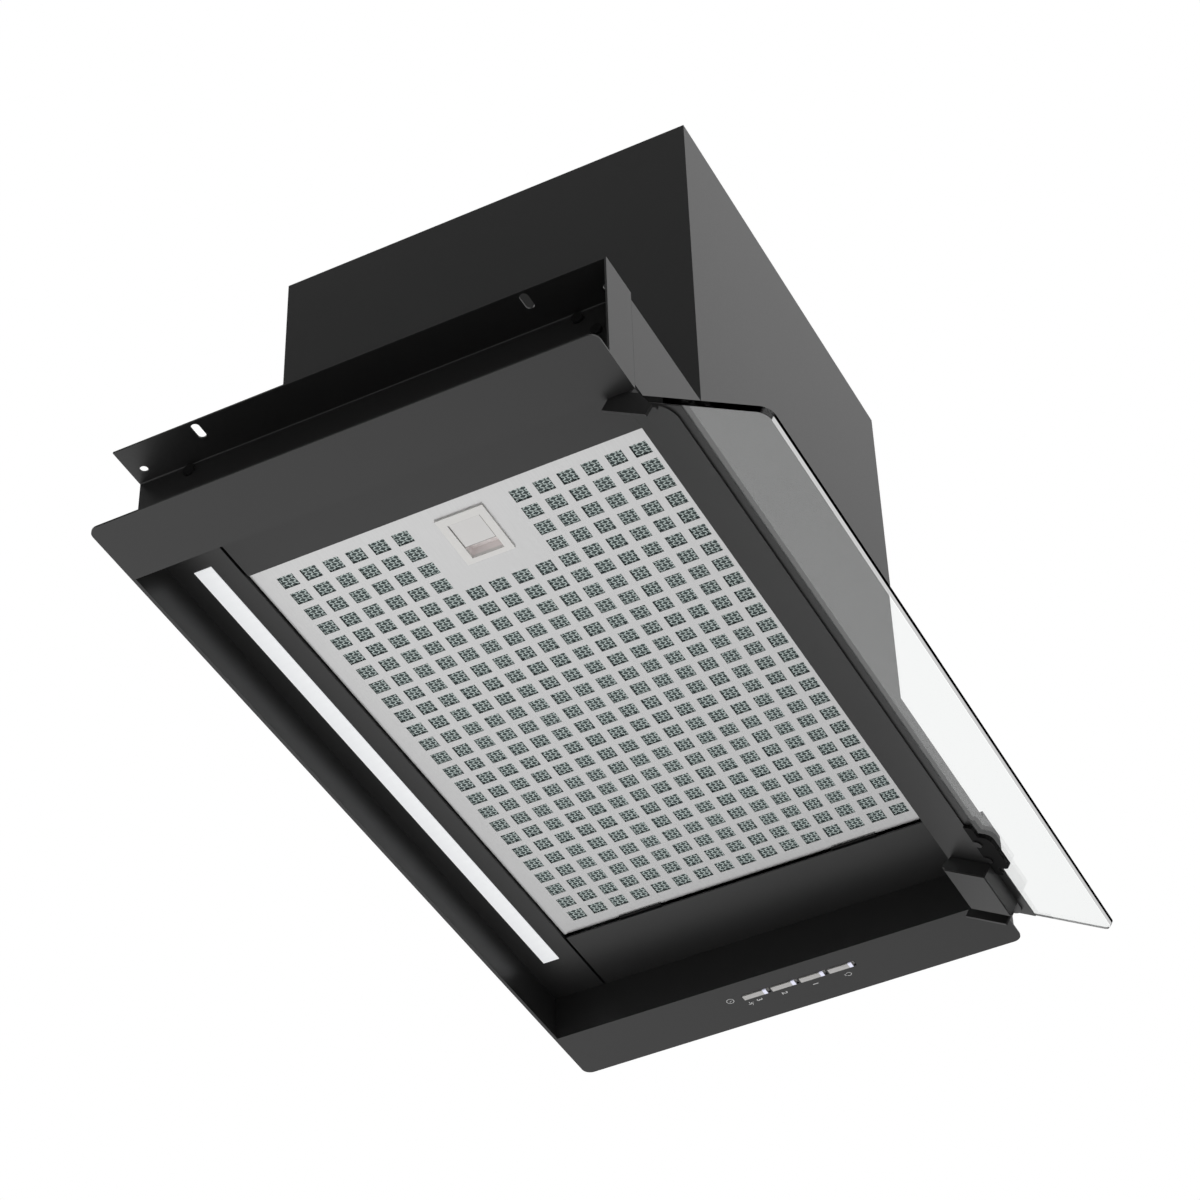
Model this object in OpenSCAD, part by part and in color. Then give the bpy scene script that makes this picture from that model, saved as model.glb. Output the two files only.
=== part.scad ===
// Built-in range hood: a folded sheet frame that hangs in a cabinet, a tall motor housing on top,
// a recessed ceiling with a grease filter and a light, and a glass visor hinged along the front.
// Origin: centre of the opening plane, level with the underside of the two side flanges.
// +X points to the end with the buttons, +Y to the wall, +Z up. All lengths are millimetres.

/* [Frame] */
// Length over the two side flanges
hood_l = 598; // [568:1:898]
// Depth of the frame, front to rear
frame_d = 312; // [300:1:360]
// Height of the side rails
rail_h = 74.5; // [70:0.5:100]
// Width of each side flange, with the end wall
flange_w = 44.5; // [40:0.5:56]
// Width of the wing along the top of each side rail
wing_w = 28.5; // [24:0.5:36]
// Thickness of the folded sheet
sheet_t = 1.2; // [0.8:0.1:1.6]
// Radius of the outer corners of a side flange
flange_corner_r = 6; // [2:0.5:12]
// How far the front and rear plates stop below the top of the rails
plate_drop = 5.7; // [4:0.1:9]
// Height of the hem along the lower edge of the rear plate
hem_h = 10; // [6:0.5:20]
// Distance of the rear fixing slots from the middle of the frame
slot_y = 104.1; // [60:0.1:120]
// Distance of a fixing slot's middle from the outer face of the end wall
slot_inset = 20.7; // [16:0.1:22]
// Length of a fixing slot, along the hood
slot_l = 12; // [8:0.5:14]
// Width of a fixing slot
slot_w = 5.2; // [4:0.1:6]
// Distance of the round wing holes from the middle of the frame
wing_hole_y = 147.4; // [135:0.1:150]
// Distance of a round wing hole from the outer face of the end wall
wing_hole_inset = 9.5; // [6:0.1:14]
// Diameter of a round wing hole
wing_hole_d = 5; // [3:0.1:6]

/* [Recess] */
// Height of the recessed ceiling above the flange underside
recess_h = 31.9; // [28:0.1:38]
// Thickness of the ceiling sheet
liner_t = 1; // [0.8:0.1:1.4]
// Ceiling between an end wall and the filter opening
end_ledge = 56.6; // [50:0.1:70]
// Ceiling between the front plate and the filter opening
front_ledge = 15.1; // [13:0.1:22]
// Ceiling between the filter opening and the light panel
rear_ledge = 1.6; // [1.4:0.1:6]
// Depth of the light panel
light_panel_d = 35.8; // [32:0.1:50]
// Gap between the filter surround and the light panel
light_gap = 1; // [0.5:0.1:3]
// Height of the upturned lip round the filter opening
lip_h = 2.3; // [1.8:0.1:3]
// Height of the upturned end flanges of the ceiling sheets
liner_fold_h = 12; // [8:0.5:16]

/* [Light] */
// Distance of the diffuser's ends from the end walls
led_margin = 39.6; // [20:0.1:80]
// Visible width of the diffuser
led_w = 11.2; // [8:0.1:14]
// Distance of the diffuser's middle from the rear plate
led_setback = 17.6; // [14:0.1:20]
// Width of the diffuser's hidden head
led_head_w = 15.2; // [14.6:0.1:18]
// Height of the aluminium channel over the diffuser
led_channel_h = 11; // [9:0.1:14]
// Pitch of the light chips
chip_pitch = 15; // [10:0.5:30]

/* [Filter] */
// Gap between the filter and its opening
filter_gap = 1.2; // [0.8:0.1:2]
// Height of the filter's face above the ceiling
filter_rise = 2.5; // [2.3:0.1:3.5]
// Thickness of the filter, over its folded rim
filter_t = 9.6; // [8.6:0.1:14]
// Thickness of the filter's sheet
filter_sheet = 0.8; // [0.6:0.1:1]
// Pitch of the square perforations
hole_pitch = 15; // [12:0.5:20]
// Width of a square perforation
hole_w = 11; // [6:0.5:11]
// Least distance of a perforation's middle from the filter's edge
hole_margin = 13; // [11:0.5:20]
// Pitch of the folds in the mesh pack
mesh_pitch = 6; // [4:0.5:10]
// Length of the hanging tongues past the filter's rim
tongue_l = 9; // [6:0.5:12]
// Width of a hanging tongue
tongue_w = 30; // [16:1:40]
// Distance of each tongue from the filter's middle
tongue_y = 75; // [40:1:90]

/* [Latch] */
// Length of the latch frame, along the hood
latch_l = 40; // [38:0.5:50]
// Width of the latch frame
latch_w = 30.5; // [28:0.5:36]
// Distance of the latch frame from the filter's end
latch_inset = 11.5; // [9:0.5:16]
// Width of the frame round the latch recess
latch_rim = 5; // [4:0.1:6]
// Depth of the latch recess
latch_depth = 6.4; // [5.6:0.1:7]
// Length of the sliding catch inside the recess
slider_l = 20.5; // [16:0.5:21.5]
// Travel of the sliding catch
latch_travel = 6; // [5:0.1:8]
// Width of the bolt of the sliding catch
bolt_w = 12; // [8:0.5:16]

/* [Visor] */
// Tilt of the open visor below the horizontal
visor_tilt = 31.2; // [5:0.1:34]
// Thickness of the glass
glass_t = 4; // [3:0.5:4]
// Depth of the glass, hinge edge to front edge
glass_d = 91.4; // [80:0.1:140]
// Gap between each end of the glass and the end wall
glass_gap = 2.6; // [2.4:0.1:6]
// Radius of the glass's front corners
glass_corner_r = 7; // [2:0.5:20]
// Distance of the hinge axis behind the front of the frame
pivot_back = 7; // [6.8:0.1:12]
// Height of the hinge axis above the flange underside
pivot_h = 5; // [4.5:0.1:6]
// Height of the hinge axis above the underside of the glass
pivot_over = 6.7; // [6.2:0.1:7.5]
// Distance of the glass's rear edge in front of the hinge axis
glass_setback = 5.2; // [4.6:0.1:8]
// Height of the free edge of the front plate above the flange underside
front_relief = 3.2; // [3:0.1:5]
// Thickness of the base strip under the glass
strip_t = 0.6; // [0.4:0.1:1]
// Depth of the base strip
strip_d = 36; // [34:0.5:50]
// Thickness of the cover strip
cover_t = 1; // [0.8:0.1:1.5]
// Depth of the cover strip
cover_d = 31.7; // [28:0.1:33]
// Radius of the cover strip's front corners
cover_corner_r = 10; // [2:0.5:14]
// Length of a hinge block, along the hood
hinge_l = 46.9; // [30:0.1:80]
// Depth of a hinge block
hinge_d = 30.7; // [26:0.1:34]
// Thickness of a hinge block under the cover strip
hinge_t = 1.6; // [1.2:0.1:3]
// Thickness of a hinge cheek
cheek_t = 2; // [1.5:0.1:2.1]
// How far a hinge cheek reaches below the glass
cheek_drop = 9.65; // [6:0.05:12]
// Diameter of the hinge pins
pin_d = 4; // [3:0.1:5]
// Length of the black clamp, along the hood
clamp_l = 52; // [46:1:70]
// Distance of the clamp's outer end from the middle of the hood
clamp_end = 200; // [190:1:203]

/* [Buttons] */
// Pitch of the four buttons
button_pitch = 20.1; // [18.5:0.1:26]
// Length of a button
button_l = 16.7; // [12:0.1:17]
// Width of a button
button_w = 4.5; // [3.5:0.1:6]
// Place of the first button, front to rear
button_y = 18.9; // [0:0.1:30]
// Distance of the buttons from the outer face of the end wall
button_inset = 16.4; // [14:0.1:20]
// Travel of a button
button_travel = 1; // [0.6:0.1:1.2]
// How far a button stands below the flange
button_proud = 0.6; // [0.3:0.1:1]
// Length of the dark recess in front of each button
button_recess = 2; // [1:0.1:2.6]

/* [Motor housing] */
// Length of the motor housing, along the hood
housing_w = 290; // [280:1:340]
// Depth of the motor housing
housing_d = 282; // [278:1:284]
// Height of the top of the housing's lid
housing_top = 335.3; // [334:0.1:400]
// Distance of the housing behind the front of the frame
housing_setback = 9; // [8:0.1:12]
// Thickness of the housing's sheet
housing_t = 1; // [0.8:0.1:1.2]
// Width of the folds along the housing's top
housing_fold = 10; // [8:0.5:12]
// Height of the deck that carries the housing
deck_h = 60; // [52:0.5:62]

/* [Duct] */
// Outer diameter of the duct collar
duct_d = 149; // [120:0.5:150]
// Height of the duct collar above the lid
duct_h = 40; // [30:0.5:60]
// Wall of the duct collar
duct_wall = 2; // [1.5:0.1:3]
// Width of the collar's flange
duct_flange_w = 12.5; // [8:0.5:13]
// Thickness of a damper flap
flap_t = 1.5; // [1:0.1:2]
// Diameter of the damper pin
damper_pin_d = 3; // [2:0.1:3.4]

/* [Fan] */
// Height of the fan axis
fan_z = 205; // [203:0.5:215]
// Place of the fan axis, front to rear
fan_y = -17.6; // [-20:0.1:-15]
// Outer diameter of the impeller
wheel_d = 170; // [150:1:176]
// Inner diameter of the blade ring
wheel_bore_d = 140; // [120:1:150]
// Length of the impeller
wheel_l = 132; // [120:1:134]
// Number of impeller blades
blade_count = 40; // [24:1:48]
// Radius of a blade's curve
blade_r = 14; // [11:0.5:18]
// Thickness of a blade
blade_t = 1.2; // [0.8:0.1:1.6]
// Radius of the scroll where it starts, at the tongue
scroll_r0 = 94; // [92:0.5:98]
// Radius of the scroll where it ends, at the outlet
scroll_r1 = 134; // [125:0.5:134]
// Inner width of the scroll
scroll_w = 146; // [144:1:160]
// Wall of the scroll
scroll_wall = 2; // [1.5:0.1:2.5]
// Diameter of the inlets
inlet_d = 144; // [130:1:146]

/* [Motor] */
// Diameter of the motor
motor_d = 84; // [76:1:100]
// Length of the motor
motor_l = 66; // [60:1:70]
// Distance of the motor's fixed end from the middle of the fan
motor_back = 58; // [52:1:60]
// Diameter of the motor shaft
shaft_d = 8; // [6:0.5:9]
// Diameter of the bearings
bearing_d = 22; // [19:0.5:26]
// Width of the bearings
bearing_w = 7; // [6:0.5:8]

/* [Controls] */
// Length of the control box, along the hood
control_w = 86; // [60:1:90]
// Depth of the control box
control_d = 150; // [100:1:180]
// Height of the control box
control_h = 40; // [36:1:50]
// Bore of the mains cable gland
gland_bore_d = 8; // [6:0.5:10]

/* [Hidden] */
$fn = 64;

// Overrun of every cut
over = 1;
// Gap between pieces that only seat on each other
seat = 0.3;
// Radial gap of a shaft or pin that turns in its hole
running = 0.05;
// Radial gap of a screw in its hole
screw_gap = 0.1;

// Frame
hood_x = hood_l / 2;
wall_out = hood_x - flange_w;
wall_in = wall_out - sheet_t;
front_y = -frame_d / 2;
rear_y = frame_d / 2;
front_in = front_y + sheet_t;
rear_in = rear_y - sheet_t;
plate_top = rail_h - plate_drop;
plate_end = wall_in - seat / 2;
hem_t = 0.9;
end_fold_h = [34, 59];
end_fold_d = 26;

// Screws of the frame: distance from the front or rear of the frame, and height
screw_r = 2;
screw_head_r = 3.6;
screw_head_t = 1.8;
screw_l = 6;
deck_screw_rise = 8.6;
deck_screw_front = 31.6;
deck_screw_rear = 33.4;
corner_screw_back = 20.4;
corner_screw_rise = 7.4;
deck_screw_z = deck_h + deck_screw_rise;
deck_screw_y = [front_y + deck_screw_front, rear_y - deck_screw_rear];
corner_screw_y = front_y + corner_screw_back;
corner_screw_z = (end_fold_h[0] + end_fold_h[1]) / 2 + corner_screw_rise;

// Ceiling
liner_top = recess_h + liner_t;
panel_front = rear_in - light_panel_d;
surround_rear = panel_front - light_gap;
opening_x = wall_in - end_ledge;
opening_front = front_in + front_ledge;
opening_rear = surround_rear - rear_ledge;
lip_top = liner_top + lip_h;

// Light
led_x = wall_in - led_margin;
led_y = rear_in - led_setback;
led_proud = 0.3;
led_head_t = 1.2;
channel_t = 1.2;
channel_w = led_head_w + 2 * (channel_t + seat);
channel_top = liner_top + led_channel_h;
board_t = 1.6;
chip = 3;
chip_t = 0.7;
chip_count = floor((2 * led_x - chip_pitch) / chip_pitch);

// Filter
filter_x = opening_x - filter_gap;
filter_front = opening_front + filter_gap;
filter_rear = opening_rear - filter_gap;
filter_y = (filter_front + filter_rear) / 2;
filter_z = recess_h + filter_rise;
filter_top = filter_z + filter_t;
hole_cols = floor((2 * filter_x - 2 * hole_margin) / hole_pitch) + 1;
hole_rows = floor((filter_rear - filter_front - 2 * hole_margin) / hole_pitch) + 1;
blank_cols = 4;
blank_rows = 4;
back_t = 0.8;
window_cols = 5;
window_rows = 3;
window_bar = 14;
mesh_t = 0.6;

// Latch
latch_x0 = -filter_x + latch_inset;
latch_x1 = latch_x0 + latch_l;
latch_proud = 1.2;
latch_wall = 1.2;
recess_x0 = latch_x0 + latch_rim + latch_wall;
recess_x1 = latch_x1 - latch_rim + latch_wall;
recess_y = latch_w / 2 - latch_rim;
slider_x0 = recess_x0 + seat;
slider_x1 = slider_x0 + slider_l;
slider_z = filter_z - latch_proud / 2;
slider_t = 2;
slider_gap = 0.35;
bolt_t = 2;
bolt_z = lip_top + seat;
bolt_reach = latch_travel - seat;
ceiling_z = filter_z + latch_depth;

// Visor
strip_inset = 0.1;
cover_inset = 0.2;
cover_lap = 1.6;
block_side = 0.2;
block_back = 8.4;
body_back = 1;
body_top = 2.5;
cheek_back = 0.9;
cheek_d = 29.6;
pivot_y = front_y + pivot_back;
glass_x = wall_in - glass_gap;
strip_x = glass_x - strip_inset;
cover_x = strip_x - cover_inset;
rolled_r = (strip_t + cover_t) / 2;
cover_rear = cover_lap - glass_setback;
strip_rear = cover_rear - 2 * rolled_r - seat;
block_rear = cover_rear + block_back;
block_x = glass_x + block_side;
body_front = cover_rear + body_back;
cheek_rear = block_rear + cheek_back;
cheek_front = cheek_rear - cheek_d;
boss_r = 5.2;
pin_head_r = 3.2;
pin_head_t = 1.5;
clamp_t = 2.4;
clamp_body_d = 6;
clamp_corner_r = 1;
ear_d = 9;
ear_share = 0.65;
clamp_screw_r = 1.5;

// Buttons
button_x = wall_out + button_inset;
button_foot_l = 0.9;
button_foot_w = 2;
button_base_l = button_l + 2 * button_foot_l;
button_base_w = button_w + 2 * button_foot_w;
button_base_t = 2.5;
button_play = 0.3;
switch_w = 6;
switch_h = 3;
keypad_wall = 1.5;
keypad_front_share = 3.5;
keypad_rear_share = 1.3;
keypad_inset = 2;
keypad_reach = 20;
keypad_h = 15;
keypad_front = button_y - keypad_front_share * button_pitch - keypad_wall;
keypad_rear = button_y + keypad_rear_share * button_pitch;
keypad_x = [wall_out + keypad_inset, button_x + keypad_reach];
keypad_board_z = sheet_t + seat + button_base_t + button_travel + seat + switch_h;

// Motor housing
housing_x = housing_w / 2;
housing_front = front_y + housing_setback;
housing_rear = housing_front + housing_d;
deck_top = deck_h + sheet_t;
lid_under = housing_top - housing_t;
foot_w = 12;
deck_ledge = 14;
deck_edge_gap = 1;
deck_edge_h = plate_top - deck_top - deck_edge_gap;
deck_end_h = rail_h - deck_top - sheet_t;
lid_screw_inset = 5.5;

// Fan: the scroll's spiral starts at tongue_a, measured from +Y towards +Z
tongue_a = 60;
spiral_step = 10;
outlet_left = -8;
duct_y = fan_y + (scroll_r1 + outlet_left) / 2;
duct_r = duct_d / 2;
duct_in_r = duct_r - duct_wall;
lid_hole_r = (scroll_r1 - outlet_left) / 2;
outlet_h = lid_under - fan_z;
scroll_half = scroll_w / 2;
scroll_x = scroll_half + scroll_wall;
outlet_flange_w = 10;
outlet_edge_w = 3;
outlet_flange_t = 2;
bellmouth_l = 4.5;
wheel_x = wheel_l / 2;
wheel_r = wheel_d / 2;
wheel_in_r = wheel_bore_d / 2;
wheel_ring_w = 7;
wheel_ring_t = 3;
wheel_disc_x = 24;
wheel_disc_t = 3;
hub_r = 14;
hub_x = [18, 40];

// Damper
ledge_w = 3;
flap_z = housing_top + duct_wall + seat;
flap_gap = 0.6;
flap_r = duct_in_r - flap_gap;
knuckle_r = 3;
knuckle_w = 20;
knuckle_x = [-55, 5];
knuckle_gap = 0.5;
damper_z = flap_z + knuckle_r;
damper_pin_r = damper_pin_d / 2;

// Motor
motor_r = motor_d / 2;
motor_x0 = -motor_back;
motor_x1 = motor_x0 + motor_l;
shaft_r = shaft_d / 2;
can_t = 2.5;
bell_t = 3;
bearing_r = bearing_d / 2;
pocket_t = 3;
stator_in_r = 27;
air_gap = 0.6;
core_inset = 16;
core_x = [motor_x0 + core_inset, motor_x1 - core_inset];
pole_count = 12;
pole_w = 5;
pole_slot_d = 7;
pole_slot_r = stator_in_r + pole_slot_d;
bracket_t = 2;
bracket_x = -scroll_x - bracket_t;
bracket_ring_gap = 4;
bracket_ring_w = 12;
bracket_in_r = inlet_d / 2 + bracket_ring_gap;
bracket_out_r = bracket_in_r + bracket_ring_w;
bracket_hub_r = 24;
arm_w = 14;
arm_count = 3;
bush_r = 7;
bush_at = 28;
bush_end = -scroll_x;
motor_screw_r = 2;

// Controls
control_gap = 15;
control_clear = 5;
control_x0 = housing_x + control_gap;
control_x1 = min(control_x0 + control_w, wall_in - sheet_t - control_clear);
control_y0 = -control_d / 2;
control_y1 = control_d / 2;
control_top = deck_top + control_h;
control_wall = 1.2;
standoff_h = 6;
standoff_r = 3;
control_board_t = 1.6;
gland_r = 8;
gland_flange_r = 11;
gland_in = 6;
gland_out = 16;
gland_inset = 20;
gland_rise = 22;
gland_y = control_y1;
gland_x = control_x0 + gland_inset;
gland_z = deck_top + gland_rise;
cap_r = 14;
cap_l = 50;
cap_x = control_x1 - control_wall - cap_r - seat;
cap_y = control_y1 - control_wall - cap_r - seat;
terminal_w = 40;
terminal_d = 18;
terminal_gap = 2;
terminal_y = control_y1 - control_wall - gland_in - terminal_d - terminal_gap;
board_clear = 3;
control_board_rear = min(terminal_y, cap_y - cap_r) - board_clear;
terminal_h = 14;
terminal_pitch = 8;
terminal_r = 2;

// Parts on the control board, in shares of a sixth of its length
board_sixths = 6;
transformer_share = [2, 2.4, 1.4];
relay_share = [1.4, 1.4, 1];
relay_x_share = 4;
plug_share = [1, 0.5, 0.5];
plug_x_share = 0.7;
plug_step_share = 1.3;
plug_rear_share = 1.5;

// A block between pairs of limits
module block(x, y, z) {
    translate([x[0], y[0], z[0]])
        cube([x[1] - x[0], y[1] - y[0], z[1] - z[0]]);
}

// A round bar along X between two limits
module rod_x(r, x) {
    translate([x[0], 0, 0])
        rotate([0, 90, 0])
            cylinder(h = x[1] - x[0], r = r);
}

// A tube along X between two limits
module tube_x(r_out, r_in, x) {
    difference() {
        rod_x(r_out, x);
        rod_x(r_in, [x[0] - over, x[1] + over]);
    }
}

// A flat outline between pairs of limits, with round corners where the share is 1
module round_outline(x, y, r, left_share = 1, right_share = 1, rear_share = 0) {
    difference() {
        translate([x[0], y[0]])
            square([x[1] - x[0], y[1] - y[0]]);
        for (side = [0, 1], end = [0, 1]) {
            keep = (side == 0 ? left_share : right_share) * (end == 0 ? 1 : rear_share);
            if (keep > 0)
                corner_cut(x[side], y[end], side == 0 ? 1 : -1, end == 0 ? 1 : -1, r);
        }
    }
}

// What a round corner takes off a square one; the signs point into the outline
module corner_cut(x, y, sx, sy, r) {
    translate([x, y])
        scale([sx, sy])
            difference() {
                translate([-over, -over])
                    square([r + over, r + over]);
                translate([r, r])
                    circle(r = r);
            }
}

// A pan head screw along +X: its head stands outside, its shank goes in by l
module screw_x(r, head_r, head_t, l) {
    rod_x(head_r, [0, head_t]);
    rod_x(r, [-l, 0]);
}

// The holes of the frame screws in one end, on the +X side
module frame_screw_places() {
    for (y = deck_screw_y)
        translate([0, y, deck_screw_z])
            children();
    translate([0, corner_screw_y, corner_screw_z])
        children();
}

module frame_screw_holes() {
    frame_screw_places()
        rod_x(screw_r + screw_gap, [wall_in - 2 * sheet_t - over, wall_out + over]);
}

// Side rail: flange, end wall, top wing and closed front tab, folded from one sheet
module side_rail() {
    difference() {
        union() {
            linear_extrude(sheet_t)
                round_outline([wall_in, hood_x], [front_y, rear_y], flange_corner_r, 0, 1, 1);
            block([wall_in, wall_out], [front_y, rear_y], [0, rail_h]);
            block([wall_in, wall_out + wing_w], [front_y, rear_y], [rail_h - sheet_t, rail_h]);
            block([wall_in, wall_out + wing_w], [front_y, front_in], [0, rail_h]);
        }
        for (end = [-1, 1]) {
            translate([wall_out + slot_inset, end * slot_y, 0])
                wing_slot();
            translate([wall_out + wing_hole_inset, end * wing_hole_y, rail_h - sheet_t - over])
                cylinder(h = sheet_t + 2 * over, d = wing_hole_d);
        }
        frame_screw_holes();
        translate([0, pivot_y, pivot_h])
            rod_x(pin_d / 2 + running, [wall_in - over, wall_out + over]);
    }
}

// Cut for a slot along X with round ends
module wing_slot() {
    half = (slot_l - slot_w) / 2;
    translate([0, 0, rail_h - sheet_t - over]) {
        for (end = [-half, half])
            translate([end, 0, 0])
                cylinder(h = sheet_t + 2 * over, d = slot_w);
        translate([-half, -slot_w / 2, 0])
            cube([2 * half, slot_w, sheet_t + 2 * over]);
    }
}

module left_side_rail() {
    color("#3f3f40")
        mirror([1, 0, 0])
            side_rail();
}

module right_side_rail() {
    color("#3f3f40")
        difference() {
            side_rail();
            for (i = [0:3])
                translate([button_x, button_y - i * button_pitch, 0])
                    button_slot();
        }
}

// Slot in the flange for one button, longer at its front end
module button_slot() {
    block([-button_w / 2 - button_play, button_w / 2 + button_play],
          [-button_l / 2 - button_recess, button_l / 2 + button_play],
          [-over, sheet_t + over]);
}

// End folds of the front and rear plates, which the corner screws hold
module plate_end_fold() {
    difference() {
        block([plate_end - sheet_t, plate_end], [front_y, front_in + end_fold_d], end_fold_h);
        frame_screw_holes();
    }
}

module front_plate() {
    color("#4a4a4b") {
        block([-plate_end, plate_end], [front_y, front_in], [front_relief, plate_top]);
        plate_end_fold();
        mirror([1, 0, 0])
            plate_end_fold();
    }
}

module rear_plate() {
    color("#3a3a3b") {
        block([-plate_end, plate_end], [rear_in, rear_y], [0, plate_top]);
        block([-plate_end, plate_end], [rear_in - hem_t, rear_in], [0, hem_h]);
    }
}

// Upturned fold of a ceiling sheet along an end wall
module liner_end_folds(y) {
    for (side = [0, 1])
        mirror([side, 0, 0])
            block([wall_in - liner_t, wall_in], y, [recess_h, liner_top + liner_fold_h]);
}

module filter_surround() {
    lip_front = opening_front - liner_t;
    lip_rear = opening_rear + liner_t;
    lip_end = filter_x - filter_gap - 2 * tongue_l;
    fold_front = front_in + end_fold_d + seat;
    color("#444445") {
        difference() {
            block([-wall_in, wall_in], [front_in, surround_rear], [recess_h, liner_top]);
            block([-opening_x, opening_x], [opening_front, opening_rear],
                  [recess_h - over, liner_top + over]);
        }
        block([-opening_x - liner_t, -opening_x], [lip_front, lip_rear], [recess_h, lip_top]);
        block([-opening_x - liner_t, lip_end], [lip_front, opening_front], [recess_h, lip_top]);
        block([-opening_x - liner_t, lip_end], [opening_rear, lip_rear], [recess_h, lip_top]);
        liner_end_folds([fold_front, surround_rear]);
    }
}

module light_panel() {
    slot_x = led_x + seat / 2;
    slot_half = led_w / 2 + seat / 2;
    color("#3a3a3b") {
        difference() {
            block([-wall_in, wall_in], [panel_front, rear_in], [recess_h, liner_top]);
            block([-slot_x, slot_x], [led_y - slot_half, led_y + slot_half],
                  [recess_h - over, liner_top + over]);
        }
        block([-wall_in, wall_in], [panel_front, panel_front + liner_t],
              [recess_h, liner_top + liner_fold_h]);
        liner_end_folds([panel_front, rear_in]);
    }
}

// Light diffuser: the visible bar, and a wider head that lies on the light panel
module led_diffuser() {
    color("#f5f5f3")
        translate([0, led_y, 0]) {
            block([-led_x, led_x], [-led_w / 2, led_w / 2], [recess_h - led_proud, liner_top]);
            block([-led_x - led_head_t, led_x + led_head_t], [-led_head_w / 2, led_head_w / 2],
                  [liner_top, liner_top + led_head_t]);
        }
}

module led_channel() {
    end_x = led_x + 2 * led_head_t;
    half = channel_w / 2;
    color("#b9bbbe")
        translate([0, led_y, 0])
            difference() {
                block([-end_x, end_x], [-half, half], [liner_top, channel_top]);
                block([-end_x - over, end_x + over], [channel_t - half, half - channel_t],
                      [liner_top - over, channel_top - channel_t]);
            }
}

module led_board() {
    board_z = channel_top - channel_t - board_t;
    color("#e8e8e0")
        translate([0, led_y, 0]) {
            block([-led_x, led_x], [-led_w / 2, led_w / 2], [board_z, board_z + board_t]);
            for (i = [0:chip_count])
                translate([(i - chip_count / 2) * chip_pitch, 0, board_z - chip_t / 2])
                    cube([chip, chip, chip_t], center = true);
        }
}

// Deck: a tray whose edges turn up against the rails and plates
module top_deck() {
    cut_x = housing_x - deck_ledge;
    color("#58595b")
        difference() {
            union() {
                block([-wall_in, wall_in], [front_in, rear_in], [deck_h, deck_top]);
                block([-wall_in, wall_in], [front_in, front_in + sheet_t],
                      [deck_h, deck_top + deck_edge_h]);
                block([-wall_in, wall_in], [rear_in - sheet_t, rear_in],
                      [deck_h, deck_top + deck_edge_h]);
                for (side = [0, 1])
                    mirror([side, 0, 0])
                        block([wall_in - sheet_t, wall_in], [front_in, rear_in],
                              [deck_h, deck_top + deck_end_h]);
            }
            block([-cut_x, cut_x], [housing_front + deck_ledge, housing_rear - deck_ledge],
                  [deck_h - over, deck_top + over]);
            frame_screw_holes();
            mirror([1, 0, 0])
                frame_screw_holes();
        }
}

// Motor housing: four walls, a foot fold on the deck and a fold under the lid
module motor_housing() {
    y0 = housing_front;
    y1 = housing_rear;
    inner_x = housing_x - housing_t;
    top_x = inner_x - housing_fold;
    foot_x = inner_x - foot_w;
    color("#2f2f30")
        difference() {
            block([-housing_x, housing_x], [y0, y1], [deck_top, lid_under]);
            block([-inner_x, inner_x], [y0 + housing_t, y1 - housing_t],
                  [deck_top + housing_t, lid_under - housing_t]);
            block([-foot_x, foot_x], [y0 + housing_t + foot_w, y1 - housing_t - foot_w],
                  [deck_top - over, deck_top + housing_t + over]);
            block([-top_x, top_x],
                  [y0 + housing_t + housing_fold, y1 - housing_t - housing_fold],
                  [lid_under - housing_t - over, lid_under + over]);
            lid_screw_places()
                translate([0, 0, lid_under - housing_t - over])
                    cylinder(h = housing_t + 2 * over, r = screw_r + screw_gap);
        }
}

// Places of the six lid screws, three along each side
module lid_screw_places() {
    mid_y = (housing_front + housing_rear) / 2;
    out_x = housing_x - lid_screw_inset;
    out_y = (housing_rear - housing_front) / 2 - lid_screw_inset;
    for (i = [-1, 1], j = [-1:1])
        translate([i * out_x, mid_y + j * out_y, 0])
            children();
}

module housing_lid() {
    color("#2f2f30")
        difference() {
            block([-housing_x, housing_x], [housing_front, housing_rear],
                  [lid_under, housing_top]);
            translate([0, duct_y, lid_under - over])
                cylinder(h = housing_t + 2 * over, r = lid_hole_r);
            lid_screw_places()
                translate([0, 0, lid_under - over])
                    cylinder(h = housing_t + 2 * over, r = screw_r + screw_gap);
        }
}

module lid_screws() {
    color("silver")
        lid_screw_places()
            translate([0, 0, housing_top])
                rotate([0, -90, 0])
                    screw_x(screw_r, screw_head_r, screw_head_t, screw_l);
}

module frame_screws() {
    color("#222223")
        for (side = [0, 1])
            mirror([side, 0, 0])
                frame_screw_places()
                    translate([wall_out, 0, 0])
                        screw_x(screw_r, screw_head_r, screw_head_t, screw_l);
}

// Duct collar: a spigot on a round flange, with a ledge that the closed flaps lie on
module duct_collar() {
    color("#1d1d1f")
        translate([0, duct_y, 0])
            difference() {
                translate([0, 0, housing_top])
                    rotate_extrude($fn = 128)
                        polygon([
                            [duct_in_r - ledge_w, 0],
                            [duct_r + duct_flange_w, 0],
                            [duct_r + duct_flange_w, duct_wall],
                            [duct_r, duct_wall],
                            [duct_r, duct_h],
                            [duct_in_r, duct_h],
                            [duct_in_r, duct_wall],
                            [duct_in_r - ledge_w, duct_wall]
                        ]);
                translate([0, 0, damper_z])
                    rod_x(damper_pin_r, [-duct_r - over, duct_r + over]);
            }
}

module damper_pin() {
    color("silver")
        translate([0, duct_y, damper_z])
            rod_x(damper_pin_r, [-duct_in_r - duct_wall / 2, duct_in_r + duct_wall / 2]);
}

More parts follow.
